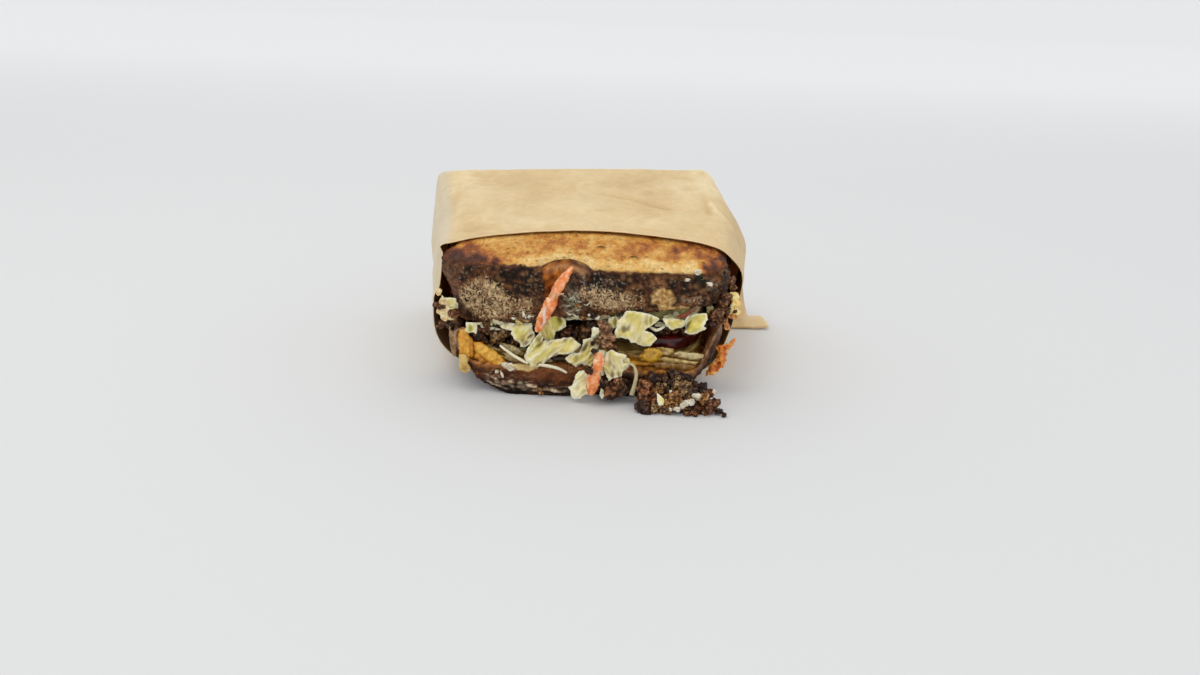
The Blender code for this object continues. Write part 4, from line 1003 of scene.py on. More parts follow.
def carrot_tint(points):
    # Pale streaks along the strip, partly the flesh's own tone and partly painted highlight.
    tone = 0.5 + 0.55 * noise(points * [1, 1, 0.3], 1.2, 61) + 0.25 * noise(points, 0.7, 62)
    return ramp(tone, (0, 212, 98, 34), (0.45, 238, 138, 66), (0.9, 254, 214, 174))


def melted(*tones):
    """The tint of soft cheese or onion from crevice, middle and crest colours, with painted shade where its
    relief sinks and painted highlight where it rises.
    """
    def colours(points, away, rise):
        tone = 0.5 + 0.5 * rise + 0.3 * noise(points, 1.8, 51) + 0.15 * noise(points, 0.7, 52)
        return shades(tone, tones)

    return colours


def lumps(rows, detail=3, floor=None):
    """Crumbs from rows of X, Y, Z, radius, tones and, where it isn't round, three stretches."""
    made = []
    for k, (x, y, z, radius, tones, *stretch) in enumerate(rows):
        stretch = stretch or np.random.default_rng(k + 1).uniform(0.8, 1.25, 3)
        turn = (37 * k, 61 * k, 0)
        made.append(lump((x, y, z), radius, 1.9 * k + x, tones, detail, 1, stretch, turn, floor))
    return made


def torn_leaves(rows, seed):
    """Torn leaves from rows of depth, greenness, dimness and outline."""
    return [
        torn_leaf(edge, depth, seed + 2.3 * k, green, dim)
        for k, (depth, green, dim, edge) in enumerate(rows)
    ]


# Cheese: X and Z of the pieces that show
BLOCK = (
    (-46.2, 24.4), (-43.6, 25.1), (-42.1, 22.5), (-41.7, 20.6), (-41.9, 17), (-41.8, 14.1), (-42.6, 13.2),
    (-43.7, 14.4), (-45.8, 14.4), (-46.2, 18), (-46.5, 21),
)
RIDGE = (
    (-42.9, 22.4), (-41.1, 20.8), (-40.5, 17.9), (-40.7, 14.9), (-41.1, 13.4), (-42.5, 13.4), (-42.9, 17.8),
)
DRIP = (
    (-46.1, 15.2), (-43.6, 15.5), (-42.1, 13.8), (-42.7, 11.9), (-41.6, 9.5), (-41.9, 8.5), (-43.4, 7.8),
    (-45.1, 8.1), (-46, 9.6), (-45.9, 12.4),
)
FOLD = (
    (-40.9, 19.7), (-37.8, 19.4), (-35, 17.4), (-32.5, 15.9), (-30.5, 14.2), (-29, 12.5), (-29.6, 10.3),
    (-31.6, 9.9), (-33.6, 10.4), (-35.6, 12), (-37.3, 13.4), (-39, 14.8), (-41, 16.5),
)
UNDER = (
    (-41, 16.2), (-38.4, 14.6), (-36, 12.6), (-33.4, 11), (-30.6, 10.2), (-31.4, 9), (-35.4, 9.6),
    (-38.6, 11.4), (-41.2, 13.2),
)
SQUARE = (
    (20.4, 16.8), (21.8, 18.8), (24.2, 20.4), (26, 20.2), (27.6, 19.4), (29, 18.2), (28, 16), (25.9, 13.8),
    (23.8, 14.4), (21.7, 14.6),
)
CURL = (
    (-49.5, 26), (-48.9, 24.5), (-48.1, 22.8), (-46.8, 24.6), (-44.8, 25.4), (-43.3, 25.2), (-44.4, 24.4),
    (-46, 23.8), (-46.5, 22), (-46.9, 18.6), (-47, 14), (-48.4, 14), (-49.2, 18), (-49.6, 22),
)


def build_cheese():
    def low(x, y):
        return crumb_height(x, y) + GAP

    def high(x, y):
        return crumb_height(x, y) + CHEESE_THICKNESS

    gold = melted((168, 98, 8), (222, 158, 28), (248, 206, 96))
    amber = melted((132, 68, 8), (190, 120, 20), (232, 172, 54))
    bright = melted((150, 98, 10), (212, 160, 30), (242, 212, 100))
    greenish = melted((150, 112, 48), (206, 168, 84), (236, 214, 146))
    soft = ((2.6, 0.5, False), (1.2, 0.25, False))
    folded = ((3, 0.5, True), (1, 0.18, False))
    bumps = ((9, 0.6, 71), (3, 0.4, 72), (1.3, 0.15, 73))
    # A hollow in the cheese's front, painted with shadow.
    hollow = ((-7, -47, 13), (7, 6, 3.4), 1.6)
    parts = [
        build_layer(4.2, low, high, cheese_tint, bumps, 0.4, hollow=hollow),
        patch(BLOCK, -49.2, 1, gold, 1, 1.3, soft, 0.3, 0.35),
        patch(RIDGE, -48.6, 1, amber, 2, 0.9, soft, 0.3, 0.35),
        patch(DRIP, -50.2, 0.8, greenish, 3, 1, soft, 0.3, 0.35),
        patch(FOLD, -48.2, 1, gold, 4, 1.3, folded, 0.3, 0.35),
        patch(UNDER, -47.6, 1, amber, 5, 0.7, soft, 0.4, 0.4),
        patch(SQUARE, -48.6, 0.9, bright, 6, 1, soft, 0.6, 0.35),
    ]
    piece("cheese_slice", parts, cheese, ["cheese"])
    skin = melted((104, 70, 46), (160, 122, 88), (206, 174, 136))
    rim = patch(CURL, -49.4, 0.8, skin, 8, 0.6, ((2, 0.3, False), (0.9, 0.15, False)), 0.2, 0.35)
    piece("slice_bottom_curl", [rim], bread)


# Browned cheese: X and Z of the lace
LACE = (
    (49.3, 20.7), (51, 20.4), (52.6, 21.6), (53.6, 21), (54.6, 22.6), (55.8, 23.6), (55.6, 21.6),
    (54.9, 20.2), (53.4, 18.4), (53.8, 17.2), (52.9, 15.9), (53.5, 14.6), (52.3, 13.6), (52.9, 12.2),
    (51.4, 11.4), (50.8, 9.9), (49.6, 10.1), (49.5, 8.3), (47.7, 8.6), (46, 7.6), (46.4, 9.6), (47.9, 12.4),
    (49.7, 14.9), (50.4, 18),
)


def build_crisp():
    """A ragged sheet of browned cheese that has run out over the right rim and set."""
    def tint(points, away, rise):
        # Painted shade and highlight: darker where its relief sinks, lighter where it rises; paler near its
        # ragged rim.
        tone = 0.52 + 0.5 * rise + 0.3 * noise(points, 1.6, 86) + 0.25 * noise(points, 0.6, 87)
        tone += 0.15 * step(0.6, 0.1, away)
        return ramp(tone, (0, 128, 50, 6), (0.4, 204, 100, 10), (0.8, 232, 138, 24), (1.2, 248, 196, 96))

    front, back = ((2.4, 1, False), (1.1, 0.45, True)), ((2, 0.9, False), (0.9, 0.4, True))
    behind = np.array(LACE) * 0.92 + [3.6, 0.6]
    parts = [
        patch(LACE, -44.6, 0.7, tint, 5, 0.5, front, 0.45, 0.32, 0.6),
        patch(behind, -43.8, 0.6, tint, 9, 0.4, back, 0.6, 0.34, 0.6),
    ]
    piece("crisp_lace", parts, crisp, ["cheese_crisp"])


# Onions: crevice, middle and crest colours, and depth, tint and outline of the strips that show
SMALL_STRIPS = 34
ONION_PALE = melted((124, 88, 40), (190, 156, 88), (236, 216, 156))
ONION_BROWN = melted((84, 50, 16), (156, 112, 50), (208, 170, 98))
ONION_OLIVE = melted((92, 76, 40), (160, 138, 84), (212, 196, 150))
ONION_WHITE = melted((150, 120, 66), (214, 192, 136), (246, 234, 196))
ONION_STRIPS = (
    (-47.8, ONION_PALE, ((25.9, 19.8), (29, 20.2), (33.1, 19.5), (33.1, 18), (31.2, 16.9), (29, 17),
        (26.4, 17))),
    (-47.9, ONION_WHITE, ((33, 17.8), (35.3, 19.1), (38, 18.4), (41, 18.6), (44.4, 17.8), (43.6, 16.2),
        (39.8, 15.6), (36, 16.2))),
    (-48.4, ONION_PALE, ((26.7, 15.6), (29.5, 16.6), (34.1, 16), (38.6, 15.4), (42.6, 15), (41.6, 13.9),
        (37.1, 13.9), (34.2, 14.2), (30.5, 14.4))),
    (-48, ONION_BROWN, ((25, 13.8), (30, 14.6), (36, 14), (42, 13.2), (40, 11.4), (33, 11.2), (27, 11.6))),
    (-48, ONION_OLIVE, ((-30.8, 19.4), (-27, 18.8), (-24, 17.6), (-21.6, 15.4), (-23.4, 14.4),
        (-26.6, 15.6), (-29.8, 16.4))),
    (-51.2, ONION_PALE, ((-25.6, 12.6), (-22, 12.8), (-18.6, 12.4), (-16.4, 11.6), (-18, 10.4),
        (-20.4, 9.4), (-23, 9.9), (-25.8, 10.6))),
    (-48.6, ONION_OLIVE, ((-29.6, 15.6), (-26, 15.4), (-22.4, 13.8), (-20.4, 12), (-23, 11.2),
        (-26.8, 12.4), (-29.4, 13.4))),
)


def build_onions():
    def low(x, y):
        return crumb_height(x, y) + CHEESE_THICKNESS + GAP

    def high(x, y):
        return onion_top(x, y) - GAP

    parts = [build_layer(6, low, high, onion_tint, ((5, 0.7, 91), (2, 0.4, 92)))]
    draw = np.random.default_rng(8)
    limp = ((2.4, 0.5, False), (1.1, 0.25, True))
    for k in range(SMALL_STRIPS):
        x = draw.uniform(-39, 43)
        z = crumb_height(x, -44) + CHEESE_THICKNESS + draw.uniform(-0.6, 3)
        front = -45.4 - draw.uniform(0, 2)
        size = (draw.uniform(2, 4.6), draw.uniform(0.7, 1.3))
        lean, seed = draw.uniform(-0.3, 0.1), draw.integers(1000)
        if -12 < x < 12 and k % 3:
            continue
        edge = chip((0, 0), size, seed, 8)
        edge = edge + [x, z] + np.stack([0 * edge[:, 0], lean * edge[:, 0]], 1)
        tone = (ONION_OLIVE if x < 0 else ONION_BROWN, ONION_BROWN, ONION_PALE)[k % 3]
        parts.append(patch(edge, front, 0.6, tone, seed, 0.4, limp, 0.2, 0.4))
    for k, (depth, tone, edge) in enumerate(ONION_STRIPS):
        parts.append(patch(edge, depth, 0.7, tone, 40 + k, 0.6, limp, 0.25, 0.36))
    piece("onion_strands", parts, onion, ["onions"])


def build_tomato():
    sides = 200
    angle = 2 * np.pi * np.arange(sides) / sides
    middle_x, middle_y = TOMATO_CENTRE
    rows = []
    for share, level in ((0.6, 1), (0.93, 1), (1, 0.78), (1, 0.22), (0.93, 0), (0.6, 0)):
        reach = TOMATO_RADIUS * share * (1 + 0.02 * np.sin(3 * angle))
        x, y = middle_x + reach * np.cos(angle), middle_y + reach * np.sin(angle)
        rows.append(np.stack([x, y, onion_top(x, y) + 0.15 + TOMATO_THICKNESS * level], 1))
    loops, places = refine_rows(rows, [8, 5, 6, 5, 8])
    p = loops.reshape(-1, 3)
    p = p + loop_normals(loops) * (0.3 * noise(p, 4, 95) + 0.2 * noise(p, 1.6, 96))[:, None]
    skin = np.repeat(step(1.2, 1.8, places) * step(3.8, 3.2, places), sides)
    tone = 0.5 + 0.4 * noise(p, 3, 97) + 0.2 * noise(p, 1, 98)
    flesh = ramp(tone, (0, 66, 14, 10), (0.6, 112, 28, 20), (1, 152, 62, 44))
    hide = ramp(tone, (0, 36, 8, 8), (0.6, 74, 18, 16), (1, 112, 42, 34))
    base = float(onion_top(middle_x, middle_y)) + 0.15
    ends = [[middle_x, middle_y, base + TOMATO_THICKNESS], [middle_x, middle_y, base]]
    tint = np.concatenate([blend(flesh, hide, skin), flesh[:2]])
    shape = Shape(np.concatenate([p, ends]), loop_faces(len(places), sides), tint)
    piece("tomato_round", [shape], tomato, ["tomato_slice"])


# Beef: how many crumbs its front edge has
PATTY_CRUMBS = 170


def build_beef():
    def high(x, y):
        return slaw_base(x, y) - 0.3

    bumps = ((5, 0.9, 101), (2, 0.6, 102), (0.9, 0.3, 103))
    parts = [build_layer(9, beef_base, high, beef_tint, bumps, near=0.7)]
    draw = np.random.default_rng(9)
    for k in range(PATTY_CRUMBS):
        x, y = draw.uniform(-43, 45), draw.uniform(-46, -41.5)
        low, top = float(beef_base(x, -42)) - 0.5, float(high(x, -42)) + 0.8
        low -= 1.4 * (x < -12)
        radius = draw.uniform(0.9, 2.6)
        tones = (DARK, DARK, BROWN, BROWN, GREY)[draw.integers(5)]
        if x > 16:
            low += radius * 0.7
            tones = DARK if k % 3 else BROWN
            radius = min(radius, 1.9)
            if x > 26 and low > top - 0.4:
                continue
        centre = (x, y + radius * 0.4, draw.uniform(low, max(top, low + 0.4)))
        stretch, turn = draw.uniform(0.75, 1.3, 3), draw.uniform(0, 180, 3)
        parts.append(lump(centre, radius, k * 2.1, tones, 3 if radius > 1.4 else 2, 1, stretch, turn))
    piece("beef_crumble", parts, beef, ["beef_patty"])


# Slaw: depth, greenness, dimness and outline of the leaves that show, and path and widths of the shreds
SMALL_LEAVES = 54
SLAW_LEAVES = (
    (-48.6, 0.1, 0.8, ((-33.6, 28.5), (-31.1, 29.1), (-28.3, 28.9), (-26.6, 28.4), (-26.9, 26.6),
        (-28.9, 26.5), (-31.1, 26.4), (-33.3, 27.2))),
    (-49.8, 0.42, 1, ((-31, 26.6), (-28.5, 28.1), (-26.3, 27.9), (-22.6, 28), (-19.3, 28.4), (-18.8, 25.2),
        (-18.1, 24.1), (-18.2, 22.3), (-19.5, 20.4), (-21.7, 18.8), (-23.7, 18.7), (-23.1, 20),
        (-25.4, 21.4), (-26.9, 23.4), (-26.4, 24.9), (-28.2, 25.3), (-29.9, 25.6))),
    (-49.2, 0.6, 0.95, ((-17.7, 28.7), (-16.8, 31), (-14.3, 32), (-11.7, 31.8), (-9.7, 31.3), (-7.2, 30.1),
        (-6.7, 27.2), (-8.7, 25.6), (-10.3, 25.1), (-11.2, 22.2), (-13, 20.3), (-15.2, 21.8),
        (-16.7, 23.7))),
    (-51.4, 0.36, 1, ((-21.8, 15.6), (-20.4, 19.3), (-18.2, 22.5), (-16.3, 25.2), (-14.9, 24.4),
        (-15.2, 21.9), (-12.4, 22.5), (-9.7, 22.8), (-6.9, 23.7), (-4.4, 23.8), (-2.7, 22.2), (-1.2, 21.4),
        (-2.3, 19.5), (-4, 17.9), (-7.3, 16.9), (-9.5, 17), (-12.3, 15.4), (-14.7, 12.9), (-16.4, 11.6),
        (-19.2, 11.8), (-21.1, 13.9))),
    (-52.3, 0.85, 1.05, ((-21.7, 15.8), (-20.4, 19.6), (-18.2, 22.8), (-16.1, 25.7), (-15.4, 24.9),
        (-17, 21.5), (-18.9, 18.2), (-20.3, 15.7))),
    (-51, 0.22, 1, ((-7, 15.3), (-5.6, 16.6), (-3.7, 18), (-2.6, 17.6), (-1.4, 18), (-0.9, 20.1),
        (-0.4, 21.6), (-0.5, 23.2), (2, 23.7), (4.2, 23.7), (5.5, 22.2), (5.6, 19.8), (3.5, 19.4),
        (2.9, 18.2), (3.8, 17), (3.6, 15.2), (3.5, 13), (2.4, 12.3), (0.7, 12.9), (-1, 13.7), (-1.9, 12.8),
        (-2.4, 12.1), (-3.8, 13), (-5.8, 14.1))),
    (-51.9, 0.34, 1, ((11.4, 30.8), (13.8, 33), (14.5, 35), (17.6, 35), (20.4, 34.6), (23.2, 34.1),
        (26.9, 32.4), (25.5, 30.9), (23.2, 29), (21.8, 27.7), (24.4, 27), (26.6, 24.7), (24.9, 22.9),
        (23.9, 21.5), (21.6, 21.8), (19.6, 22.3), (18.8, 22.8), (16.8, 22.8), (15.9, 24.3), (15.4, 23.9),
        (13.4, 24.8), (11.4, 24.3), (10.8, 25.8), (11.3, 28.2))),
    (-50.6, 0.55, 0.95, ((27.9, 32.1), (31.7, 32.4), (35.1, 32.1), (36.6, 31.2), (36, 29.4), (35.3, 28.6),
        (34.2, 28.8), (31.5, 27.8), (29.7, 29.2))),
    (-51.2, 0.7, 1.05, ((35.8, 31.4), (37.2, 34), (40.4, 34.7), (43.8, 35.1), (44.2, 32.8), (43.1, 30.1),
        (44.3, 29), (42.6, 28.3), (41, 27.3), (38.2, 26.6), (36, 27.4), (36.6, 29.4))),
    (-50.8, 0.8, 1, ((-43.2, 27.9), (-39.2, 27.9), (-38.9, 25.8), (-39.5, 23.3), (-40.4, 24.2),
        (-42.1, 23.6), (-43.6, 24.4), (-43, 26))),
    (-47.6, 0.15, 0.75, ((-8, 31.6), (-2, 32.2), (4, 32), (9, 31.8), (9.4, 30.2), (4, 29.6), (-1, 29.4),
        (-7.6, 29.6))),
    (-49.6, 0.3, 0.9, ((8.6, 31.4), (11.6, 31.8), (13.4, 29.8), (12.4, 27.4), (9.8, 27.2), (8.2, 29.2))),
)
SHREDS = (
    ([(-31, -49, 18.8), (-28, -50.4, 17), (-24.6, -51.4, 15.2), (-20.4, -51.6, 13)], [0.8, 1.3, 1.5, 1.1]),
    ([(-16.6, -51.2, 12.6), (-12.8, -51.8, 12.4), (-9, -52, 11.6), (-6, -51.6, 10)], [0.8, 1.6, 1.5, 0.8]),
    ([(2.8, -51, 27.6), (3.2, -51.6, 25.4), (2.8, -51.4, 23)], [0.8, 1.6, 0.9]),
    ([(23, -49, 28.6), (26, -50.6, 27.6), (29, -49.8, 28.8)], [0.8, 1.4, 0.8]),
)


def build_slaw():
    def high(x, y):
        return roof_height(x, y) - GAP

    bumps = ((6, 0.8, 111), (2.4, 0.7, 112), (1.1, 0.3, 113))
    # A hollow in the slaw's front, painted with shadow.
    hollow = ((-3, -44, 25.4), (6.6, 9, 4.2), 7)
    parts = [build_layer(6.5, slaw_base, high, slaw_tint, bumps, hollow=hollow)]
    parts += torn_leaves(SLAW_LEAVES, 1)
    draw = np.random.default_rng(14)
    for _ in range(SMALL_LEAVES):
        x = draw.uniform(-40, 46)
        low = float(slaw_base(x, -45))
        z = low + draw.uniform(0, 1) * (float(roof_height(x, -46)) - low - 1)
        front, seed = -45.6 - draw.uniform(0, 2), draw.integers(1000)
        size = (draw.uniform(1, 3.4), draw.uniform(0.6, 1.7))
        green, dim = draw.uniform(0, 0.8), draw.uniform(0.5, 0.95)
        if not (-12 < x < 6 and z < 29.6):
            parts.append(torn_leaf(chip((x, z), size, seed), front, seed, green, dim))
    facing = (0, -0.5, 1)
    for k, (path, widths) in enumerate(SHREDS):
        parts.append(strand(path, widths, [0.8, 1, 0.8], (240, 232, 200), 40 + k, 26, 10, facing, 0.1, 30))
    piece("slaw_leaves", parts, cabbage, ["slaw"])
    left = [(33.4, -50.4, 33), (35.4, -51.2, 33.6), (37.6, -51, 34.6)]
    right = [(36.6, -50.6, 34.6), (38.4, -51.2, 35.6), (40, -50.6, 36.4)]
    red = [
        strand(left, [0.7, 1.4, 0.9], [0.7, 0.9, 0.7], (140, 42, 20), 4, 22, 12, facing),
        strand(right, [0.8, 1.2, 0.7], [0.7, 0.9, 0.7], (124, 66, 32), 5, 18, 12, facing),
    ]
    piece("red_pepper_bit", red, carrot)


# The slaw that has spilled: depth, greenness, dimness and outline of its leaves, its strand, and its crumbs
SPILLED_LEAVES = (
    (-55.9, 0.06, 1.05, ((0, 13.2), (-2.5, 11.6), (-3.2, 8.3), (-3.8, 6.7), (-5.3, 6.1), (-4.3, 4.6),
        (-3.6, 1.8), (-2.5, 1.5), (-0.5, 1.6), (0.8, 3.3), (2.6, 3.7), (1.9, 5.2), (2.9, 8.2), (3.2, 10.4),
        (1.7, 11.2), (0.8, 12.7))),
    (-55.3, 0.4, 1, ((8, 19.8), (9.9, 21.2), (12.7, 20), (15.6, 19.3), (15.4, 18.1), (14.2, 17.4),
        (14.6, 16.2), (16.3, 16), (15.5, 14.2), (14.5, 12.7), (14, 10.8), (12.6, 10.5), (11.2, 10.1),
        (9.6, 8.7), (8.7, 10.6), (7.7, 13), (7.4, 15.6), (7.6, 17.7))),
    (-52.2, 0.05, 1.05, ((3, 28.6), (5.2, 28.2), (5.6, 25.4), (4.6, 23.6), (3.4, 24.2), (3, 26.2))),
    (-53.6, 0.15, 0.85, ((5.4, 20.2), (8, 20), (8.4, 15), (7.8, 9.6), (5.6, 8.4), (4, 12), (4.4, 17))),
    (-57.2, 0.1, 0.95, ((6.6, 6.6), (7.8, 6.2), (7.9, 3.8), (7.2, 2.4), (6.3, 3.8))),
    (-54.6, 0.3, 0.8, ((14.4, 18.6), (16.8, 17.8), (16.6, 14.6), (15.2, 12.8), (13.8, 15))),
)
SPILLED_STRAND = [(14.6, -54.6, 15.6), (18, -55, 15.4), (19.4, -55, 12), (19, -55.2, 7.6), (18.2, -55.6, 3.8)]
SPILLED_CRUMBS = (
    (7.4, -51.2, 26.8, 2.2, PALE, 1, 0.9, 1.3), (9.2, -51.8, 24.4, 1.9, PALE, 0.9, 0.9, 1.2),
    (8, -52.8, 22, 2, PALE), (10.4, -52.6, 20.4, 1.5, RED), (6.2, -52.2, 24.4, 1.3, GREY),
    (6.2, -51.2, 29.2, 1.7, PALE), (5.4, -51.8, 23.2, 1.5, GREY), (10.8, -54.2, 4.6, 3.9, RED, 1.1, 0.8, 1),
    (6.4, -53.6, 7.8, 3.2, DARK), (14.4, -53, 5.4, 3, DARK), (13, -54.6, 8.4, 2.2, BROWN),
    (3.2, -53.4, 22.6, 0.9, DARK), (3, -60.4, 14.3, 1, DARK, 1.5, 0.7, 0.8), (3.7, -59.2, 21.8, 0.9, DARK),
    (1.8, -57.6, 14.6, 0.9, DARK), (5.2, -56.4, 19.4, 0.8, BROWN),
)


def build_spill():
    widths, thicknesses = [0.7, 1, 1.4, 1.5, 2.1], [0.7, 0.9, 1.1, 1.1, 1.4]
    hanging = strand(SPILLED_STRAND, widths, thicknesses, (198, 186, 148), 60, 36, 12, (1, 0.2, 0), 0.1)
    piece("slaw_spilled", torn_leaves(SPILLED_LEAVES, 50) + [hanging], cabbage, ["slaw_spill"])
    piece("beef_on_spill", lumps(SPILLED_CRUMBS, 3, 0.02), beef)


def build_carrots():
    upper = [(-5, -51.4, 50.2), (-7, -52.4, 47.6), (-9.6, -53.2, 43.4), (-11.8, -53.4, 39)]
    lower = [(-10.6, -53.6, 40.6), (-12.6, -53.6, 36.6), (-14.8, -53.2, 32)]
    lower += [(-16.6, -52.4, 27.4), (-16.9, -52, 25.8)]
    # Painted highlights: a pale pink streak down the lower piece, and a pale line across where the two pieces
    # meet.
    pink_highlight = [(-14, -54.4, 36), (-14.6, -54.4, 33.2), (-14.4, -54, 30.6), (-15.4, -53.4, 28.4)]
    crossing_highlight = [(-11.9, -54.2, 39.6), (-9.4, -54.2, 40.8), (-7.8, -53.6, 41)]
    widths, thicknesses = [2.6, 4.6, 4.2, 3.6, 2], [1.4, 1.9, 1.9, 1.7, 1]
    side = (0.9, -0.35, 0.4)
    parts = [
        strand(upper, [1.4, 3.6, 4.3, 3.2], [0.9, 1.6, 1.9, 1.4], carrot_tint, 1, 50, 24, side, 0.16, 14),
        strand(lower, widths, thicknesses, carrot_tint, 5, 50, 24, side, 0.18, -8),
        strand(pink_highlight, [0.5, 1.2, 1.1, 0.5], [0.5, 0.8, 0.8, 0.5], (252, 206, 190), 7, 26, 10, side, 0.1),
        strand(crossing_highlight, [0.5, 0.8, 0.4], [0.5, 0.7, 0.4], (252, 190, 150), 8, 18, 8, side, 0.1),
    ]
    piece("carrot_strip", parts, carrot, ["carrot_long"])
    high = [(5.2, -57.8, 20.8), (5.6, -59, 17.4), (4.9, -59.4, 14)]
    low = [(4.6, -59.2, 14.4), (4, -59.4, 10.4), (3.4, -58.6, 6.8), (3, -57.8, 4.4)]
    side = (1, 0.1, 0.1)
    parts = [
        strand(high, [2.4, 4.4, 3.4], [1.2, 1.9, 1.5], carrot_tint, 2, 36, 24, side, 0.18, -10),
        strand(low, [3.4, 4.6, 4.4, 2.2], [1.5, 1.9, 1.8, 1.1], carrot_tint, 9, 40, 24, side, 0.18, 10),
    ]
    piece("carrot_strip_spilled", parts, carrot, ["carrot_spilled"])


# The clusters beside the slices: leaves, crumbs and blobs of cheese
LEFT_LEAVES = (
    (-45.8, 0, 1, ((-54.3, 38.1), (-53.5, 38.7), (-52.2, 38.3), (-52.5, 36.9), (-53.2, 35.9), (-54, 35.7),
        (-54.5, 36.9))),
    (-46.4, 0.05, 1.05, ((-53.1, 34.9), (-52.4, 36.5), (-51.8, 36), (-50.7, 34.2), (-50.5, 32.6),
        (-52.8, 32.5), (-53.8, 33.7))),
    (-45.8, 0.45, 0.95, ((-51.7, 35.2), (-50.1, 35.4), (-47.5, 35.4), (-47.2, 33.9), (-46.6, 32.9),
        (-46.6, 31.3), (-48.2, 31.3), (-50, 31.5), (-51.1, 32.5), (-51.6, 33.9))),
    (-46.9, 0.15, 1.05, ((-54.4, 31.1), (-51.9, 31.3), (-50.9, 32.7), (-49.5, 31.9), (-47.7, 31.7),
        (-49, 30.8), (-50.2, 29.2), (-49.7, 28.3), (-48.4, 28.2), (-47.8, 27.2), (-50.1, 27.1),
        (-51.4, 26.5), (-52.4, 27), (-53, 27.8), (-53.1, 28.7), (-54.4, 29.7))),
)
LEFT_CRUMBS = (
    (-54.6, -47.8, 33.2, 1, RED), (-53.2, -47.8, 32.2, 0.9, RED), (-52, -47.6, 32.3, 0.8, BROWN),
    (-47.8, -48.2, 29.8, 1.4, RED, 1, 0.8, 1.15), (-49.2, -47.8, 30.4, 0.9, BROWN),
    (-51.6, -45.8, 25.6, 1.5, BROWN, 1.4, 0.9, 0.8), (-49.6, -46.2, 24.6, 1.3, DARK, 1.4, 0.9, 0.9),
    (-46, -48.2, 26.6, 1.4, DARK, 1.5, 0.9, 0.7), (-53, -45.4, 24.2, 1.1, BROWN, 0.8, 0.9, 1.4),
)
RIGHT_CRUMBS = (
    (52.6, -45.4, 45.6, 1.3, BROWN, 0.9, 0.8, 1.3), (53.4, -44.6, 42.8, 1.2, TAN, 0.8, 0.8, 1.3),
    (51.2, -46.4, 40.4, 1.5, BROWN), (54.2, -45.8, 34.6, 0.9, DARK), (50.2, -46.8, 38.4, 1.7, BROWN),
    (50.6, -46.4, 35, 1.7, BROWN), (48.2, -47.8, 34.2, 1.8, BROWN), (46.4, -47.8, 32.8, 1.5, RED),
    (49, -47.2, 31.4, 1.6, RED), (47, -47, 30.2, 1.5, DARK),
)
UPPER_BLOB = (
    (51.9, 40.6), (53.4, 41.9), (55.2, 41.1), (56.2, 39.8), (55.6, 38.4), (56.6, 37.2),
    (55.7, 35.6), (54.4, 36.2), (53.4, 35), (52.4, 36), (53, 38),
)
LOWER_BLOB = ((52, 35.4), (53.6, 36.4), (55.6, 35.8), (56.6, 34.2), (55.8, 32.8), (54, 33.4), (52.4, 32.8))
ORANGE_BITS = (
    (53.6, -45, 32.6, 1.4, ORANGE, 1.3, 0.8, 0.8), (55.2, -44.6, 32, 1, ORANGE),
    (51.6, -45.2, 30, 1.2, ORANGE, 1.4, 0.8, 0.7), (52.4, -45, 28, 0.9, ORANGE),
)


def build_side_fillings():
    cream = melted((196, 150, 86), (240, 210, 150), (253, 238, 198))
    crinkled = ((1.8, 0.5, True), (0.9, 0.3, False))
    parts = []
    for k, (depth, green, dim, edge) in enumerate(LEFT_LEAVES):
        if green > 0.3:
            parts.append(torn_leaf(edge, depth, 80 + k, green, dim))
        else:
            parts.append(patch(edge, depth, 0.5, cream, 80 + k, 0.3, crinkled, 0.3, 0.3))
    piece("left_cabbage", parts, cabbage, ["filling_left"])
    piece("left_crumbs", lumps(LEFT_CRUMBS), beef)
    custard = melted((206, 150, 60), (246, 206, 116), (254, 238, 180))
    clotted = ((1.6, 0.5, True), (0.8, 0.25, False))
    blobs = [
        patch(UPPER_BLOB, -45.4, 0.8, custard, 11, 0.8, clotted, 0.35, 0.3),
        patch(LOWER_BLOB, -45.6, 0.8, custard, 12, 0.7, clotted, 0.35, 0.3),
    ]
    piece("right_cheese", blobs + lumps(ORANGE_BITS), cheese, ["filling_right"])
    piece("right_crumb", lumps(RIGHT_CRUMBS), beef)


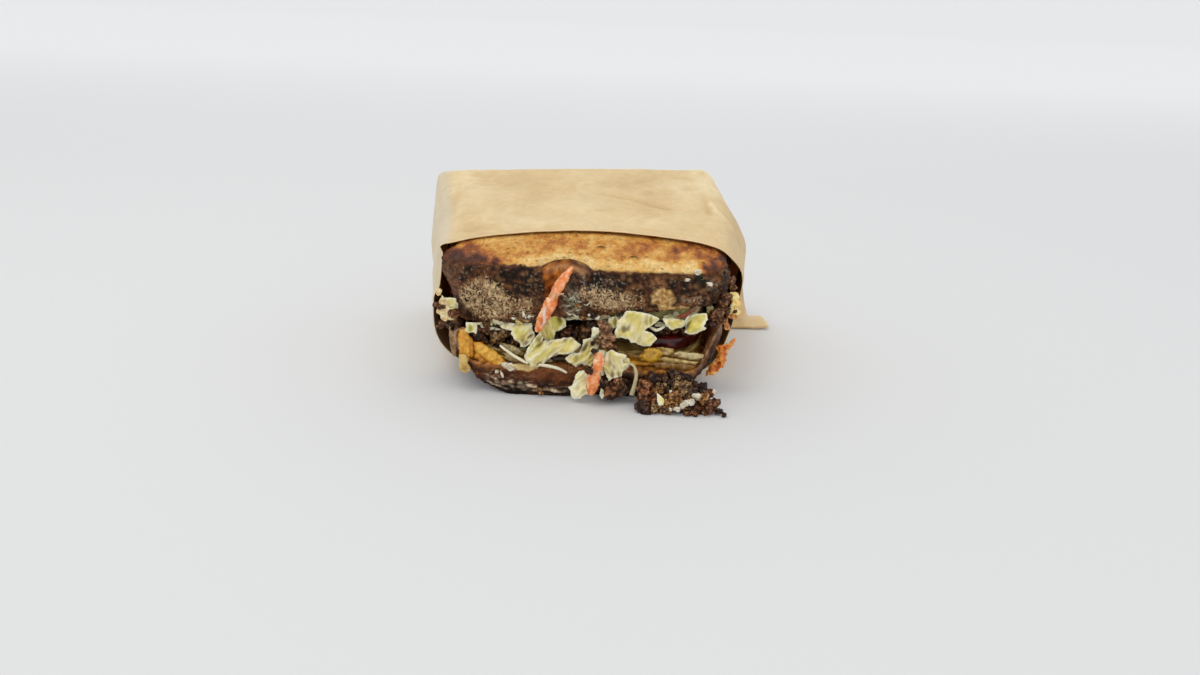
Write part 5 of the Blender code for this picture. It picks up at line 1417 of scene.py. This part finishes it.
# The heap in front: its large crumbs and its drops of dressing
CHUNKS = (
    (33.7, -52.9, 11.3, 2.5, DARK, 1.1, 0.9, 0.9), (29.6, -53.9, 9.4, 2.3, DARK),
    (36.9, -53.1, 10.5, 2.2, DARK), (25.4, -53.9, 8.7, 2.4, DARK), (34.6, -55.8, 11.2, 0.8, GREY),
    (23, -56, 7.1, 3, RED), (23.5, -58, 5, 2.6, RED), (21.4, -55, 7.9, 1.6, BROWN),
    (27.6, -56.6, 8.3, 1.1, GREY), (29.2, -56.4, 6, 2.3, DARK), (32.5, -55.4, 8.6, 2.3, DARK),
    (34.3, -57.9, 8.4, 2.2, GREY), (37.2, -57.5, 8.3, 2.2, GREY), (35.9, -59.2, 7, 2.2, GREY),
    (32.9, -60.2, 5, 2.8, TAN), (30.7, -61.2, 3.6, 2.1, TAN), (34.1, -61.5, 3.2, 1.9, TAN),
    (26.9, -60.2, 3.4, 2, RED), (40.3, -55.6, 8.4, 2.1, DARK), (43.7, -56.7, 7.6, 2.4, DARK),
    (39.5, -58, 6.4, 2.2, DARK), (41.8, -59.4, 4.4, 1.7, BROWN), (44.3, -60.3, 5, 2.5, TAN, 1.2, 0.9, 0.85),
    (45.6, -61.3, 2.6, 2.6, RED), (48.6, -60, 4, 1.8, BROWN), (46.3, -58.2, 6.5, 1.6, BROWN),
    (21.6, -61, 2.3, 2.3, DARK), (23.6, -62.8, 1.1, 1.7, DARK), (26.2, -62.2, 1.5, 1.8, GREY),
    (23.9, -62.2, 2.7, 1.2, RED), (29.1, -62.5, 1.5, 1.5, BROWN), (31.2, -63, 1.2, 1.3, BROWN),
    (36.6, -61, 1.8, 1.9, DARK), (39.4, -60.6, 2.4, 2.2, DARK), (42.4, -60.4, 1.6, 1.6, DARK),
    (36.6, -55, 5, 3, DARK), (30, -54.6, 4.4, 3.2, DARK), (49.6, -61.4, 1.2, 1.2, DARK),
    (51.4, -63.4, 1, 1, DARK), (40.8, -63.6, 0.9, 1.1, RED), (26.6, -57.4, 4, 2.6, BROWN),
)
HEAP_DROPS = (
    (41.3, -60.6, 6.4, 1.4, CREAM, 1.1, 0.8, 0.9), (38.8, -62.6, 5, 1.6, CREAM, 1.1, 0.8, 0.95),
    (37.4, -63, 4.4, 1.1, CREAM), (36.4, -63.2, 3.7, 1, CREAM), (34.2, -64, 2.7, 1.2, CREAM, 1.1, 0.8, 0.9),
    (32, -63.8, 2.3, 0.7, CREAM), (31.6, -60.4, 7.6, 0.7, CREAM),
)
HEAP_CENTRE, HEAP_REACH, FINE_CRUMBS = (35.2, -58.4), (14.4, 5.4), 90


def build_heap():
    parts = lumps(CHUNKS, 4, 0.02)
    draw = np.random.default_rng(21)
    for k in range(FINE_CRUMBS):
        angle = draw.uniform(0, 2 * np.pi)
        reach = draw.uniform(0.2, 1) ** 0.5
        x = HEAP_CENTRE[0] + HEAP_REACH[0] * reach * math.cos(angle)
        y = HEAP_CENTRE[1] + HEAP_REACH[1] * reach * math.sin(angle)
        height = lerp(10.6, 6.4, float(step(28, 46, x))) * (1 - reach**2)
        radius = draw.uniform(0.35, 1.3)
        tones = (DARK, BROWN, GREY, RED, TAN)[draw.integers(5)]
        stretch, turn = draw.uniform(0.6, 1.4, 3), draw.uniform(0, 180, 3)
        centre = (x, y, max(radius * 0.8, height))
        parts.append(lump(centre, radius, k * 3.3 + 9, tones, 3, 1.2, stretch, turn, 0.02))
    piece("beef_heap", parts, beef, ["beef_spill"])
    fleck = ((46.6, 8.3), (47.6, 9.8), (48.4, 8.1), (47.6, 7.3))
    fleck = patch(fleck, -60.2, 0.4, (232, 200, 180), 1, 0.2, (), 0.1, 0.3)
    piece("heap_dressing", lumps(HEAP_DROPS) + [fleck], sauce)
    scrap = ((26.7, 8.4), (27.6, 7.9), (29.5, 5.9), (29.4, 3.6), (27.7, 3.4), (26.9, 5.6))
    scrap = patch(scrap, -63.4, 0.5, leaf_tint(0.35, 1.1), 7, 0.3, ((2, 0.4, False),), 0.15, 0.3)
    piece("heap_cabbage", [scrap], cabbage)


# What sticks to the crust: drops of dressing and crumbs, and place, size and colour of the herb's leaves
SMEARED_SHREDS = 16
DROPS = (
    (39.4, -50.9, 50, 1.1, CREAM, 1.1, 0.7, 0.9), (35.9, -51.2, 47.2, 0.9, CREAM, 0.9, 0.5, 1.2),
    (43.9, -50.9, 46, 0.9, CREAM, 0.9, 0.5, 1.2), (-21.9, -51.6, 31.4, 1, CREAM, 1.5, 0.7, 0.7),
    (-19.4, -51.6, 31.2, 0.9, CREAM, 1.5, 0.7, 0.7), (-25.4, -51.2, 30.2, 0.8, CREAM, 1.4, 0.7, 0.7),
    (-24, -50.6, 28.8, 1, YELLOW, 1.4, 0.7, 0.9), (-31.8, -51.4, 9.2, 1, CREAM, 1.7, 0.6, 0.6),
    (-30, -51.4, 8.4, 0.8, CREAM, 1.7, 0.6, 0.6), (-27.4, -51, 11.4, 1.5, CREAM, 1.6, 0.7, 0.9),
    (1.6, -51.2, 32.6, 0.9, CREAM, 0.8, 0.5, 1.4), (4.6, -51.2, 31.6, 0.8, CREAM, 0.8, 0.5, 1.2),
)
CRUST_CRUMBS = (
    (-22, -50.6, 30.8, 2, GREY, 1.5, 0.8, 0.8), (-18.6, -50.8, 30.4, 1.7, BROWN, 1.3, 0.8, 0.8),
    (-25.6, -50.2, 30.2, 1.5, BROWN), (-28.6, -49.8, 29.4, 1.3, BROWN),
    (-0.6, -51.4, 31.6, 1.3, TAN, 1.2, 0.7, 0.9), (-2.6, -51.6, 36.2, 1, TAN, 1.2, 0.7, 0.9),
    (2.8, -50.8, 32.4, 1.2, DARK), (-36, -50, 26.8, 1.3, BROWN, 1.6, 0.8, 0.7),
    (-15.8, -51.8, 2.4, 1.1, TAN, 1.4, 0.8, 0.9),
)
HERB = (
    ((39.9, 48.1), (1.3, 1), (24, 34, 16)),
    ((41.6, 47), (1.4, 1.1), (14, 20, 12)),
    ((40.4, 46.2), (0.9, 0.9), (34, 44, 20)),
)


def build_dressing():
    parts = lumps(DROPS)
    draw = np.random.default_rng(31)
    for k in range(SMEARED_SHREDS):
        x, z = draw.normal(-4.4, 2.4), draw.normal(36.6, 2.4)
        bend = draw.normal(0, 0.8, 4)
        path = [(x - 1.1, -51, z + bend[0]), (x, -51.7, z + bend[1]), (x + 1.1, -51.4, z + bend[2])]
        tone = blend((112, 106, 80), (206, 202, 176), draw.uniform())
        widths, thicknesses, twist = [0.3, 0.9, 0.3], [0.3, 0.5, 0.3], 40 * bend[3]
        parts.append(strand(path, widths, thicknesses, tone, 60 + k, 12, 8, (0, -0.5, 1), 0.2, twist))
    piece("dressing_drops", parts, sauce)
    piece("crust_crumbs", lumps(CRUST_CRUMBS), beef)
    herb = []
    for seed, (centre, size, tone) in enumerate(HERB):
        edge, depth = chip(centre, size, seed, 7), -51.3 - 0.2 * seed
        herb.append(patch(edge, depth, 0.4, tone, 71 + seed, 0.2, ((0.9, 0.4, True),), 0.5, 0.25))
    piece("herb", herb, beef)


# The paper sleeve
# Round the sleeve: X and Z at the front plane, X and Z at the rear plane, and Y of the mouth's edge
SLEEVE_SECTION = (
    (0, 0, 0, 0, -23),
    (26, 0, 32, 0, -23.5),
    (38, 0, 46, 0, -25),
    (49.2, 5, 56.2, 4, -29),
    (54.3, 17.5, 64.2, 11.5, -28),
    (56.4, 30, 70.6, 22, -23),
    (57.8, 40, 72.8, 33.6, -24),
    (56.9, 46, 69.4, 42.8, -28.5),
    (52.6, 50.2, 61.6, 54.2, -32),
    (49.6, 53, 56, 62.2, -33),
    (46, 53.3, 51, 70, -31),
    (38, 53.3, 42, 70, -26.5),
    (0, 53.3, 0, 69, -18.5),
    (-36, 53.3, -42, 66.8, -27),
    (-49, 53.3, -63, 65.4, -35),
    (-54.4, 53.2, -69.8, 64.6, -38),
    (-55, 48.5, -71.4, 59.5, -39.4),
    (-55.4, 42.8, -72.4, 50, -40),
    (-57.6, 29, -73.6, 32, -38),
    (-57, 16, -69, 14, -35),
    (-50, 5, -61, 4.5, -29),
    (-38, 0, -48, 0, -25),
    (-26, 0, -32, 0, -23.5),
)
SLEEVE_SIDES, SLEEVE_STEPS = 400, 80
BEND_WEIGHT = 14
CORNER_PUSH, PUSH_CORNER = 2.4, (55.5, 57)
# X and Z of the upper left corner at the front and rear planes, and how far it is dented
LEFT_CORNER_X, LEFT_CORNER_Z, CORNER_DENT = (-54.4, -69.8), (53.2, 64.6), (2.2, 0, -3.6)
# Scale of the section and distance from the rear as the sleeve closes
REAR_LOOPS = (
    (0.994, 1.9), (0.985, 0.9), (0.97, 0.45), (0.955, 0.25), (0.9, 0.12), (0.8, 0.05),
    (0.65, 0), (0.5, 0), (0.35, 0), (0.2, 0), (0.08, 0),
)
# Width, height and points of the creases
CREASES = (
    (1.2, 0.6, (-62.4, 18.9, 63.5), (-58.3, 27.8, 65)),
    (1.6, -0.7, (-57, 9, 61.8), (-56.2, 18, 63.2), (-55.8, 25.7, 64.6)),
    (1.4, 0.5, (-53.3, -20.2, 56.8), (-53.4, -5.9, 59.2), (-54.4, 9.3, 61.8), (-57.8, 25.7, 64.6)),
    (1, 0.4, (-41.9, 27.2, 64.9), (-36.9, 32.8, 65.8), (-31.8, 38.5, 66.8)),
    (0.9, -0.7, (-56, 32, 65.8), (-54.2, 40.4, 66.8), (-53.4, 47, 67.8)),
    (1.2, 0.9, (47.9, 32.5, 65.8), (50.8, 25.5, 64.6), (52.8, 19.9, 63.6)),
    (1.2, 0.9, (48.8, 12.6, 62.4), (50.9, 1.9, 60.6), (55.6, -1.5, 60)),
    (1, -0.7, (46.6, 19, 63.6), (47.2, 8, 61.6), (48, -2, 60)),
    (1.1, -0.5, (33, 39.5, 67), (40.4, 37.9, 66.7), (47.5, 33.7, 66)),
    (1.2, 0.4, (35.1, 21.4, 63.9), (40.4, 17.4, 63.2)),
    (1.3, -0.45, (3.8, 18, 63.3), (16.8, 12.5, 62.4), (29.3, 3.9, 60.9), (44, 0, 60)),
    (1.2, -0.35, (-2.2, -2.7, 59.8), (11.8, 2, 60.6)),
    (1.4, 0.8, (54, 48, 68), (57, 22, 60)),
    (1.3, 0.8, (61, -16, 44), (63, 30, 40)),
    (1.2, 0.8, (61, 44, 50), (60, 4, 26)),
    (1.2, 0.8, (-57, -28, 34), (-62, 2, 42), (-66, 20, 44)),
    (1.1, 0.8, (-72, 44, 52), (-69, 26, 30), (-64, 6, 18)),
    (1.2, -0.5, (-57, -30, 24), (-66, 14, 28)),
    (1, 0.7, (-71, 50, 20), (-68, 28, 12)),
    (1, 0.7, (-70, 34, 58), (-67, 12, 50)),
)
# The ear at the lower right rear, and the flat tab in which it ends
EAR_FRONT, EAR_REACH = 28, 6.5
TAB_LEFT, TAB_RIGHT, TAB_FRONT, TAB_REAR = 54, 83.4, 34, 54
# Height, left and right of the rear folds' edges
SIDE_FOLD = ((13, 52, 42), (33, 58, 22), (46, 58.5, 38), (58, 56, 53))
FLAP_FOLD = ((2.5, -38, 38), (8, -49, 49), (15, -52, 52), (41, -29, 30))


def sleeve_rows(sides):
    """The sleeve's section, rounded and spaced along its rear outline, closer where that bends."""
    rows = np.array(SLEEVE_SECTION)
    for _ in range(4):
        after = np.roll(rows, -1, axis=0)
        rows = np.stack([lerp(rows, after, 0.25), lerp(rows, after, 0.75)], 1).reshape(-1, 5)
    run = np.roll(rows, -1, axis=0)[:, 2:4] - rows[:, 2:4]
    heading = np.arctan2(run[:, 1], run[:, 0])
    bend = np.abs(np.remainder(heading - np.roll(heading, 1) + np.pi, 2 * np.pi) - np.pi)
    lengths = np.hypot(run[:, 0], run[:, 1]) + BEND_WEIGHT * bend
    travelled = np.concatenate([[0], np.cumsum(lengths)])
    closed = np.concatenate([rows, rows[:1]])
    targets = travelled[-1] * np.arange(sides) / sides
    return np.stack([np.interp(targets, travelled, closed[:, k]) for k in range(5)], 1)


def plane_share(y):
    return (y - SLEEVE_FRONT_PLANE) / (SLEEVE_REAR_PLANE - SLEEVE_FRONT_PLANE)


def sleeve_section(rows, y):
    share = plane_share(y)
    x, z = lerp(rows[:, 0], rows[:, 2], share), lerp(rows[:, 1], rows[:, 3], share)
    near = np.exp(-(((x - PUSH_CORNER[0]) / 7) ** 2) - ((z - PUSH_CORNER[1]) / 8) ** 2)
    push = CORNER_PUSH * 4 * np.maximum(0, share * (1 - share)) * near
    return np.stack([x + push, y, z + push], 1)


def crease_rise(p):
    rise = np.zeros(len(p))
    for width, height, *path in CREASES:
        path = np.array(path)
        away = np.full(len(p), 99)
        fade = np.zeros(len(p))
        for k, (start, end) in enumerate(zip(path, path[1:])):
            run = end - start
            along = np.clip((p - start) @ run / (run @ run), 0, 1)
            reach = np.linalg.norm(p - start - along[:, None] * run, axis=1)
            place = (k + along) / (len(path) - 1)
            fade = np.where(reach < away, 4 * place * (1 - place), fade)
            away = np.minimum(away, reach)
        away = away + 0.5 * noise(p, 9, height * 10)
        rise += 1.3 * height * np.sqrt(np.clip(fade, 0, 1)) * np.exp(-np.abs(away) / width)
    return rise


def paper_rise(p):
    """How far creases and bends lift the paper."""
    soft = 0.4 * noise(p, 30, 121) + 0.26 * noise(p, 13, 122)
    sides = step(50, 58, np.abs(p[:, 0])) + step(40, 48, p[:, 1])
    crinkle = (0.24 + 0.2 * np.minimum(sides, 1)) * (1 - 2.4 * np.abs(noise(p, 9, 123)))
    return crease_rise(p) + soft + crinkle * step(-0.2, 0.5, noise(p, 26, 124))


def paper_tint(p, rise):
    """Kraft paper with painted shade in its creases and on its right side, paler on the tab, and greyer on
    its left side as painted cool light.
    """
    x, y, z = p.T
    # Raised creases are painted lighter and sunken ones darker: painted shade.
    tone = 0.5 + 0.25 * noise(p, 24, 131) + 0.12 * noise(p, 3, 132) + 0.8 * rise
    tint = shades(tone, ((197, 166, 120), (215, 187, 140), (231, 207, 164)))
    # Painted shade down the right side.
    tint = blend(tint, (196, 166, 122), 0.7 * step(50, 62, x + 0.25 * (60 - z)) * step(6, 14, z))
    tint = blend(tint, (240, 212, 168), 0.6 * step(76, 80, x + 6 * step(5, 2, z)))
    # Painted cool light greying the left side.
    return blend(tint, (208, 194, 168), 0.8 * step(-52, -57, x + 0.16 * (y + 20)))


def sleeve_loops(rows):
    """Loops from the mouth to the rear, and over the rear towards its middle."""
    rear = SLEEVE_REAR - REAR_ROUNDING
    shares = np.arange(SLEEVE_STEPS + 1) / SLEEVE_STEPS
    loops = [sleeve_section(rows, lerp(rows[:, 4], rear, share)) for share in shares]
    end = sleeve_section(rows, np.full(len(rows), rear))
    for scale, back in REAR_LOOPS:
        z = SLEEVE_MIDDLE_HEIGHT + (end[:, 2] - SLEEVE_MIDDLE_HEIGHT) * scale
        loops.append(np.stack([end[:, 0] * scale, np.full(len(rows), SLEEVE_REAR - back), z], 1))
    return np.array(loops)


def bend_paper(outer, p, behind_mouth):
    """Dents the upper left corner of the sleeve, and pinches its left side in behind the mouth."""
    share = plane_share(p[:, 1])
    corner = np.stack([lerp(*LEFT_CORNER_X, share), p[:, 1], lerp(*LEFT_CORNER_Z, share)], 1)
    away = np.linalg.norm(p - corner, axis=1)
    dent = bell(away, 0, 7) * np.sin(np.pi * cap((p[:, 1] + 38) / 82))
    outer += dent[:, None] * np.array(CORNER_DENT)
    pinch = step(8, 0, behind_mouth) * step(33, 38, p[:, 2]) * step(53, 50, p[:, 2]) * (p[:, 0] < -40)
    outer[:, 0] += 1.6 * pinch


def build_sleeve():
    rows = sleeve_rows(SLEEVE_SIDES)
    loops = sleeve_loops(rows)
    p = loops.reshape(-1, 3)
    normals = loop_normals(loops)
    normals = normals * np.sign((normals * (p - [0, 20, SLEEVE_MIDDLE_HEIGHT])).sum(1).mean())
    behind_mouth = p[:, 1] - np.tile(rows[:, 4], len(loops))
    rise = paper_rise(p) * step(2, 8, p[:, 2]) * lerp(0.35, 1, step(0, 6, behind_mouth))
    rear = step(SLEEVE_REAR - 4, SLEEVE_REAR - 1, p[:, 1])
    outer = p + normals * (rise * lerp(1, 0.4, rear) - 0.15)[:, None]
    bend_paper(outer, p, behind_mouth)
    inner = outer - normals * PAPER_THICKNESS
    outer[:, 2] = np.maximum(outer[:, 2], 0)
    ends = [[0, SLEEVE_REAR - 0.7, SLEEVE_MIDDLE_HEIGHT], [0, SLEEVE_REAR, SLEEVE_MIDDLE_HEIGHT]]
    points = np.concatenate([inner.reshape(loops.shape)[::-1].reshape(-1, 3), outer, ends])
    tint = paper_tint(p, rise)
    # The inner face is a darker copy of the outer tint: painted shade.
    inside = blend(tint, (180, 160, 122), 0.85).reshape(loops.shape)[::-1].reshape(-1, 3)
    # A painted highlight along the mouth's edge.
    tint = blend(tint, (246, 212, 170), 0.7 * bell(behind_mouth, 0, 0.5))
    faces = loop_faces(2 * len(loops), len(rows))
    sleeve = Shape(points, faces, np.concatenate([inside, tint, tint[:2]]))
    parts = [sleeve, build_ear(rows)] + build_tab() + build_folds()
    piece("paper_wrap", parts, paper, ["paper_sleeve"])


def grid_noise(grid, size, seed):
    return noise(grid.reshape(-1, 3), size, seed).reshape(grid.shape[:2])


def paper_sheet(grid, thickness, rise):
    return sheet(grid, thickness, paper_tint(grid.reshape(-1, 3), rise.ravel()))


def build_ear(rows):
    """The sleeve's lower right wall, which flares out towards the rear."""
    out = np.linspace(-0.1, 1, 24)
    grid = []
    for share in np.linspace(0.08, 0.97, 40):
        y = lerp(EAR_FRONT, SLEEVE_REAR - 1, share)
        wall = sleeve_section(rows, np.full(len(rows), y))[: len(rows) // 3]
        wall = wall[(wall[:, 0] > 46) & (wall[:, 2] < lerp(9, 24, step(0, 1, share)))]
        foot = wall[-1]
        z = np.minimum(0.8 + (foot[2] - 0.8) * cap(1 - out, 2) ** 2.2, foot[2] + 2)
        grid.append(np.stack([foot[0] + EAR_REACH * share * out, np.full(len(out), y), z], 1))
    grid = np.array(grid)
    wrinkle = 0.4 * grid_noise(grid, 9, 141) + 0.2 * grid_noise(grid, 4, 142)
    grid[..., 0] += wrinkle * 0.6
    grid[..., 2] = np.maximum(grid[..., 2] + wrinkle * 0.4, 0.35)
    return paper_sheet(grid, FOLD_THICKNESS, 0.4 * wrinkle)


def build_tab():
    """Two flat layers of folded paper in which the ear ends."""
    u, v = np.meshgrid(np.linspace(0, 1, 40), np.linspace(0, 1, 26), indexing="ij")
    x = lerp(TAB_LEFT, TAB_RIGHT, u) - 1.2 * v * u
    y = lerp(TAB_FRONT + 1.2 * u, TAB_REAR - 4 * u * u, v)
    z = 0.75 + 0.9 * u * np.sin(np.pi * v) + 0.6 * step(0.8, 1, u)
    tab = np.stack([x, y, z], 2)
    made = []
    for lift in (0, 0.5):
        grid = np.stack([x - 0.8 * lift, y, z + lift + 0.12 * grid_noise(tab, 5, 143 + lift)], 2)
        made.append(paper_sheet(grid, PAPER_THICKNESS, 0 * x))
    return made


def build_folds():
    """Side folds and a bottom flap that close the sleeve's rear."""
    made = []
    folds = ((SIDE_FOLD, -1, 0.25, 1), (SIDE_FOLD, 1, 0.25, 2), (FLAP_FOLD, 1, 0.7, 3))
    for lines, sign, lift, seed in folds:
        height, left, right = np.array(lines, float).T
        u = np.linspace(0, 1, 40)
        z = np.interp(u, np.linspace(0, 1, len(lines)), height)
        left, right = np.interp(z, height, left)[:, None], np.interp(z, height, right)[:, None]
        x = sign * (left + (right - left) * u) - 1.5
        grid = np.stack([x, np.full(x.shape, SLEEVE_REAR), np.broadcast_to(z[:, None], x.shape)], 2)
        bulge = 0.12 * grid_noise(grid, 7, 150 + seed)
        grid[..., 1] = SLEEVE_REAR + lift + bulge
        made.append(paper_sheet(grid, FOLD_THICKNESS, bulge))
    return made


# The floor, camera and light, in metres
FLOOR_FRONT, FLOOR_REAR, FLOOR_HALF_WIDTH, BEND_RADIUS = -2.5, 9, 9, 2
LIGHT_PLACE, LIGHT_SIZE, LIGHT_POWER, LIGHT_COLOUR = (-0.3, -0.25, 1.1), 0.4, 1.7, (1, 0.985, 0.96)
SKY_COLOUR, SKY_STRENGTH = (0.98, 0.99, 1, 1), 0.94


def build_stage():
    """A floor that bends up into a backdrop."""
    along = np.linspace(0, 1, 60)
    turn = cap((along - 0.6) / 0.4) * math.pi / 2
    flat = lerp(FLOOR_FRONT, FLOOR_REAR, along / 0.6)
    y = np.where(turn > 0, FLOOR_REAR + BEND_RADIUS * np.sin(turn), flat)
    z = BEND_RADIUS - BEND_RADIUS * np.cos(turn)
    across = np.linspace(-FLOOR_HALF_WIDTH, FLOOR_HALF_WIDTH, 30)
    points = np.array([(a, b, c) for b, c in zip(y, z) for a in across])
    index = np.arange(len(points)).reshape(len(y), len(across))
    corners = [index[:-1, :-1], index[:-1, 1:], index[1:, 1:], index[1:, :-1]]
    faces = np.stack([corner.ravel() for corner in corners], 1).tolist()
    tint = np.stack([lerp(0.73, 0.88, step(0.2, 2, points[:, 1]))] * 3, 1)
    mesh_object("floor", points, faces, tint, make_material("floor", 0.85))


def add_object(name, data, right, up, back, place):
    obj = bpy.data.objects.new(name, data)
    obj.matrix_world = Matrix([[right[k], up[k], back[k], place[k]] for k in range(3)] + [[0, 0, 0, 1]])
    bpy.context.scene.collection.objects.link(obj)
    return obj


def build_camera():
    pitch, yaw, roll = (math.radians(angle) for angle in (CAMERA_PITCH, CAMERA_YAW, CAMERA_ROLL))
    ahead = np.array([math.sin(yaw) * math.cos(pitch), math.cos(yaw) * math.cos(pitch), -math.sin(pitch)])
    right = np.array([math.cos(yaw), -math.sin(yaw), 0])
    up = np.cross(right, ahead)
    camera = bpy.data.cameras.new("camera")
    camera.sensor_fit = "HORIZONTAL"
    camera.sensor_width = 36
    camera.lens = 36 * FOCAL_LENGTH / PHOTO_WIDTH
    camera.clip_start, camera.clip_end = 0.01, 40
    across = math.cos(roll) * right + math.sin(roll) * up
    upwards = math.cos(roll) * up - math.sin(roll) * right
    bpy.context.scene.camera = add_object("camera", camera, across, upwards, -ahead, EYE * MM)


def build_lighting():
    world = bpy.data.worlds.new("studio")
    world.use_nodes = True
    background = world.node_tree.nodes["Background"]
    background.inputs["Color"].default_value = SKY_COLOUR
    background.inputs["Strength"].default_value = SKY_STRENGTH
    bpy.context.scene.world = world
    light = bpy.data.lights.new("key", "AREA")
    light.shape = "RECTANGLE"
    light.size, light.size_y = LIGHT_SIZE, LIGHT_SIZE
    light.energy = LIGHT_POWER
    light.color = LIGHT_COLOUR
    place = np.array(LIGHT_PLACE)
    back = unit(place)
    side = unit(np.cross([0, 1, 0], back))
    add_object("key", light, side, np.cross(back, side), back, place)
    bpy.context.scene.view_settings.view_transform = "Standard"


build_camera()
build_lighting()
build_stage()
build_sleeve()
build_top_slice()
build_bottom_slice()
build_cheese()
build_crisp()
build_onions()
build_tomato()
build_beef()
build_slaw()
build_spill()
build_carrots()
build_side_fillings()
build_heap()
build_dressing()

bpy.context.view_layer.update()
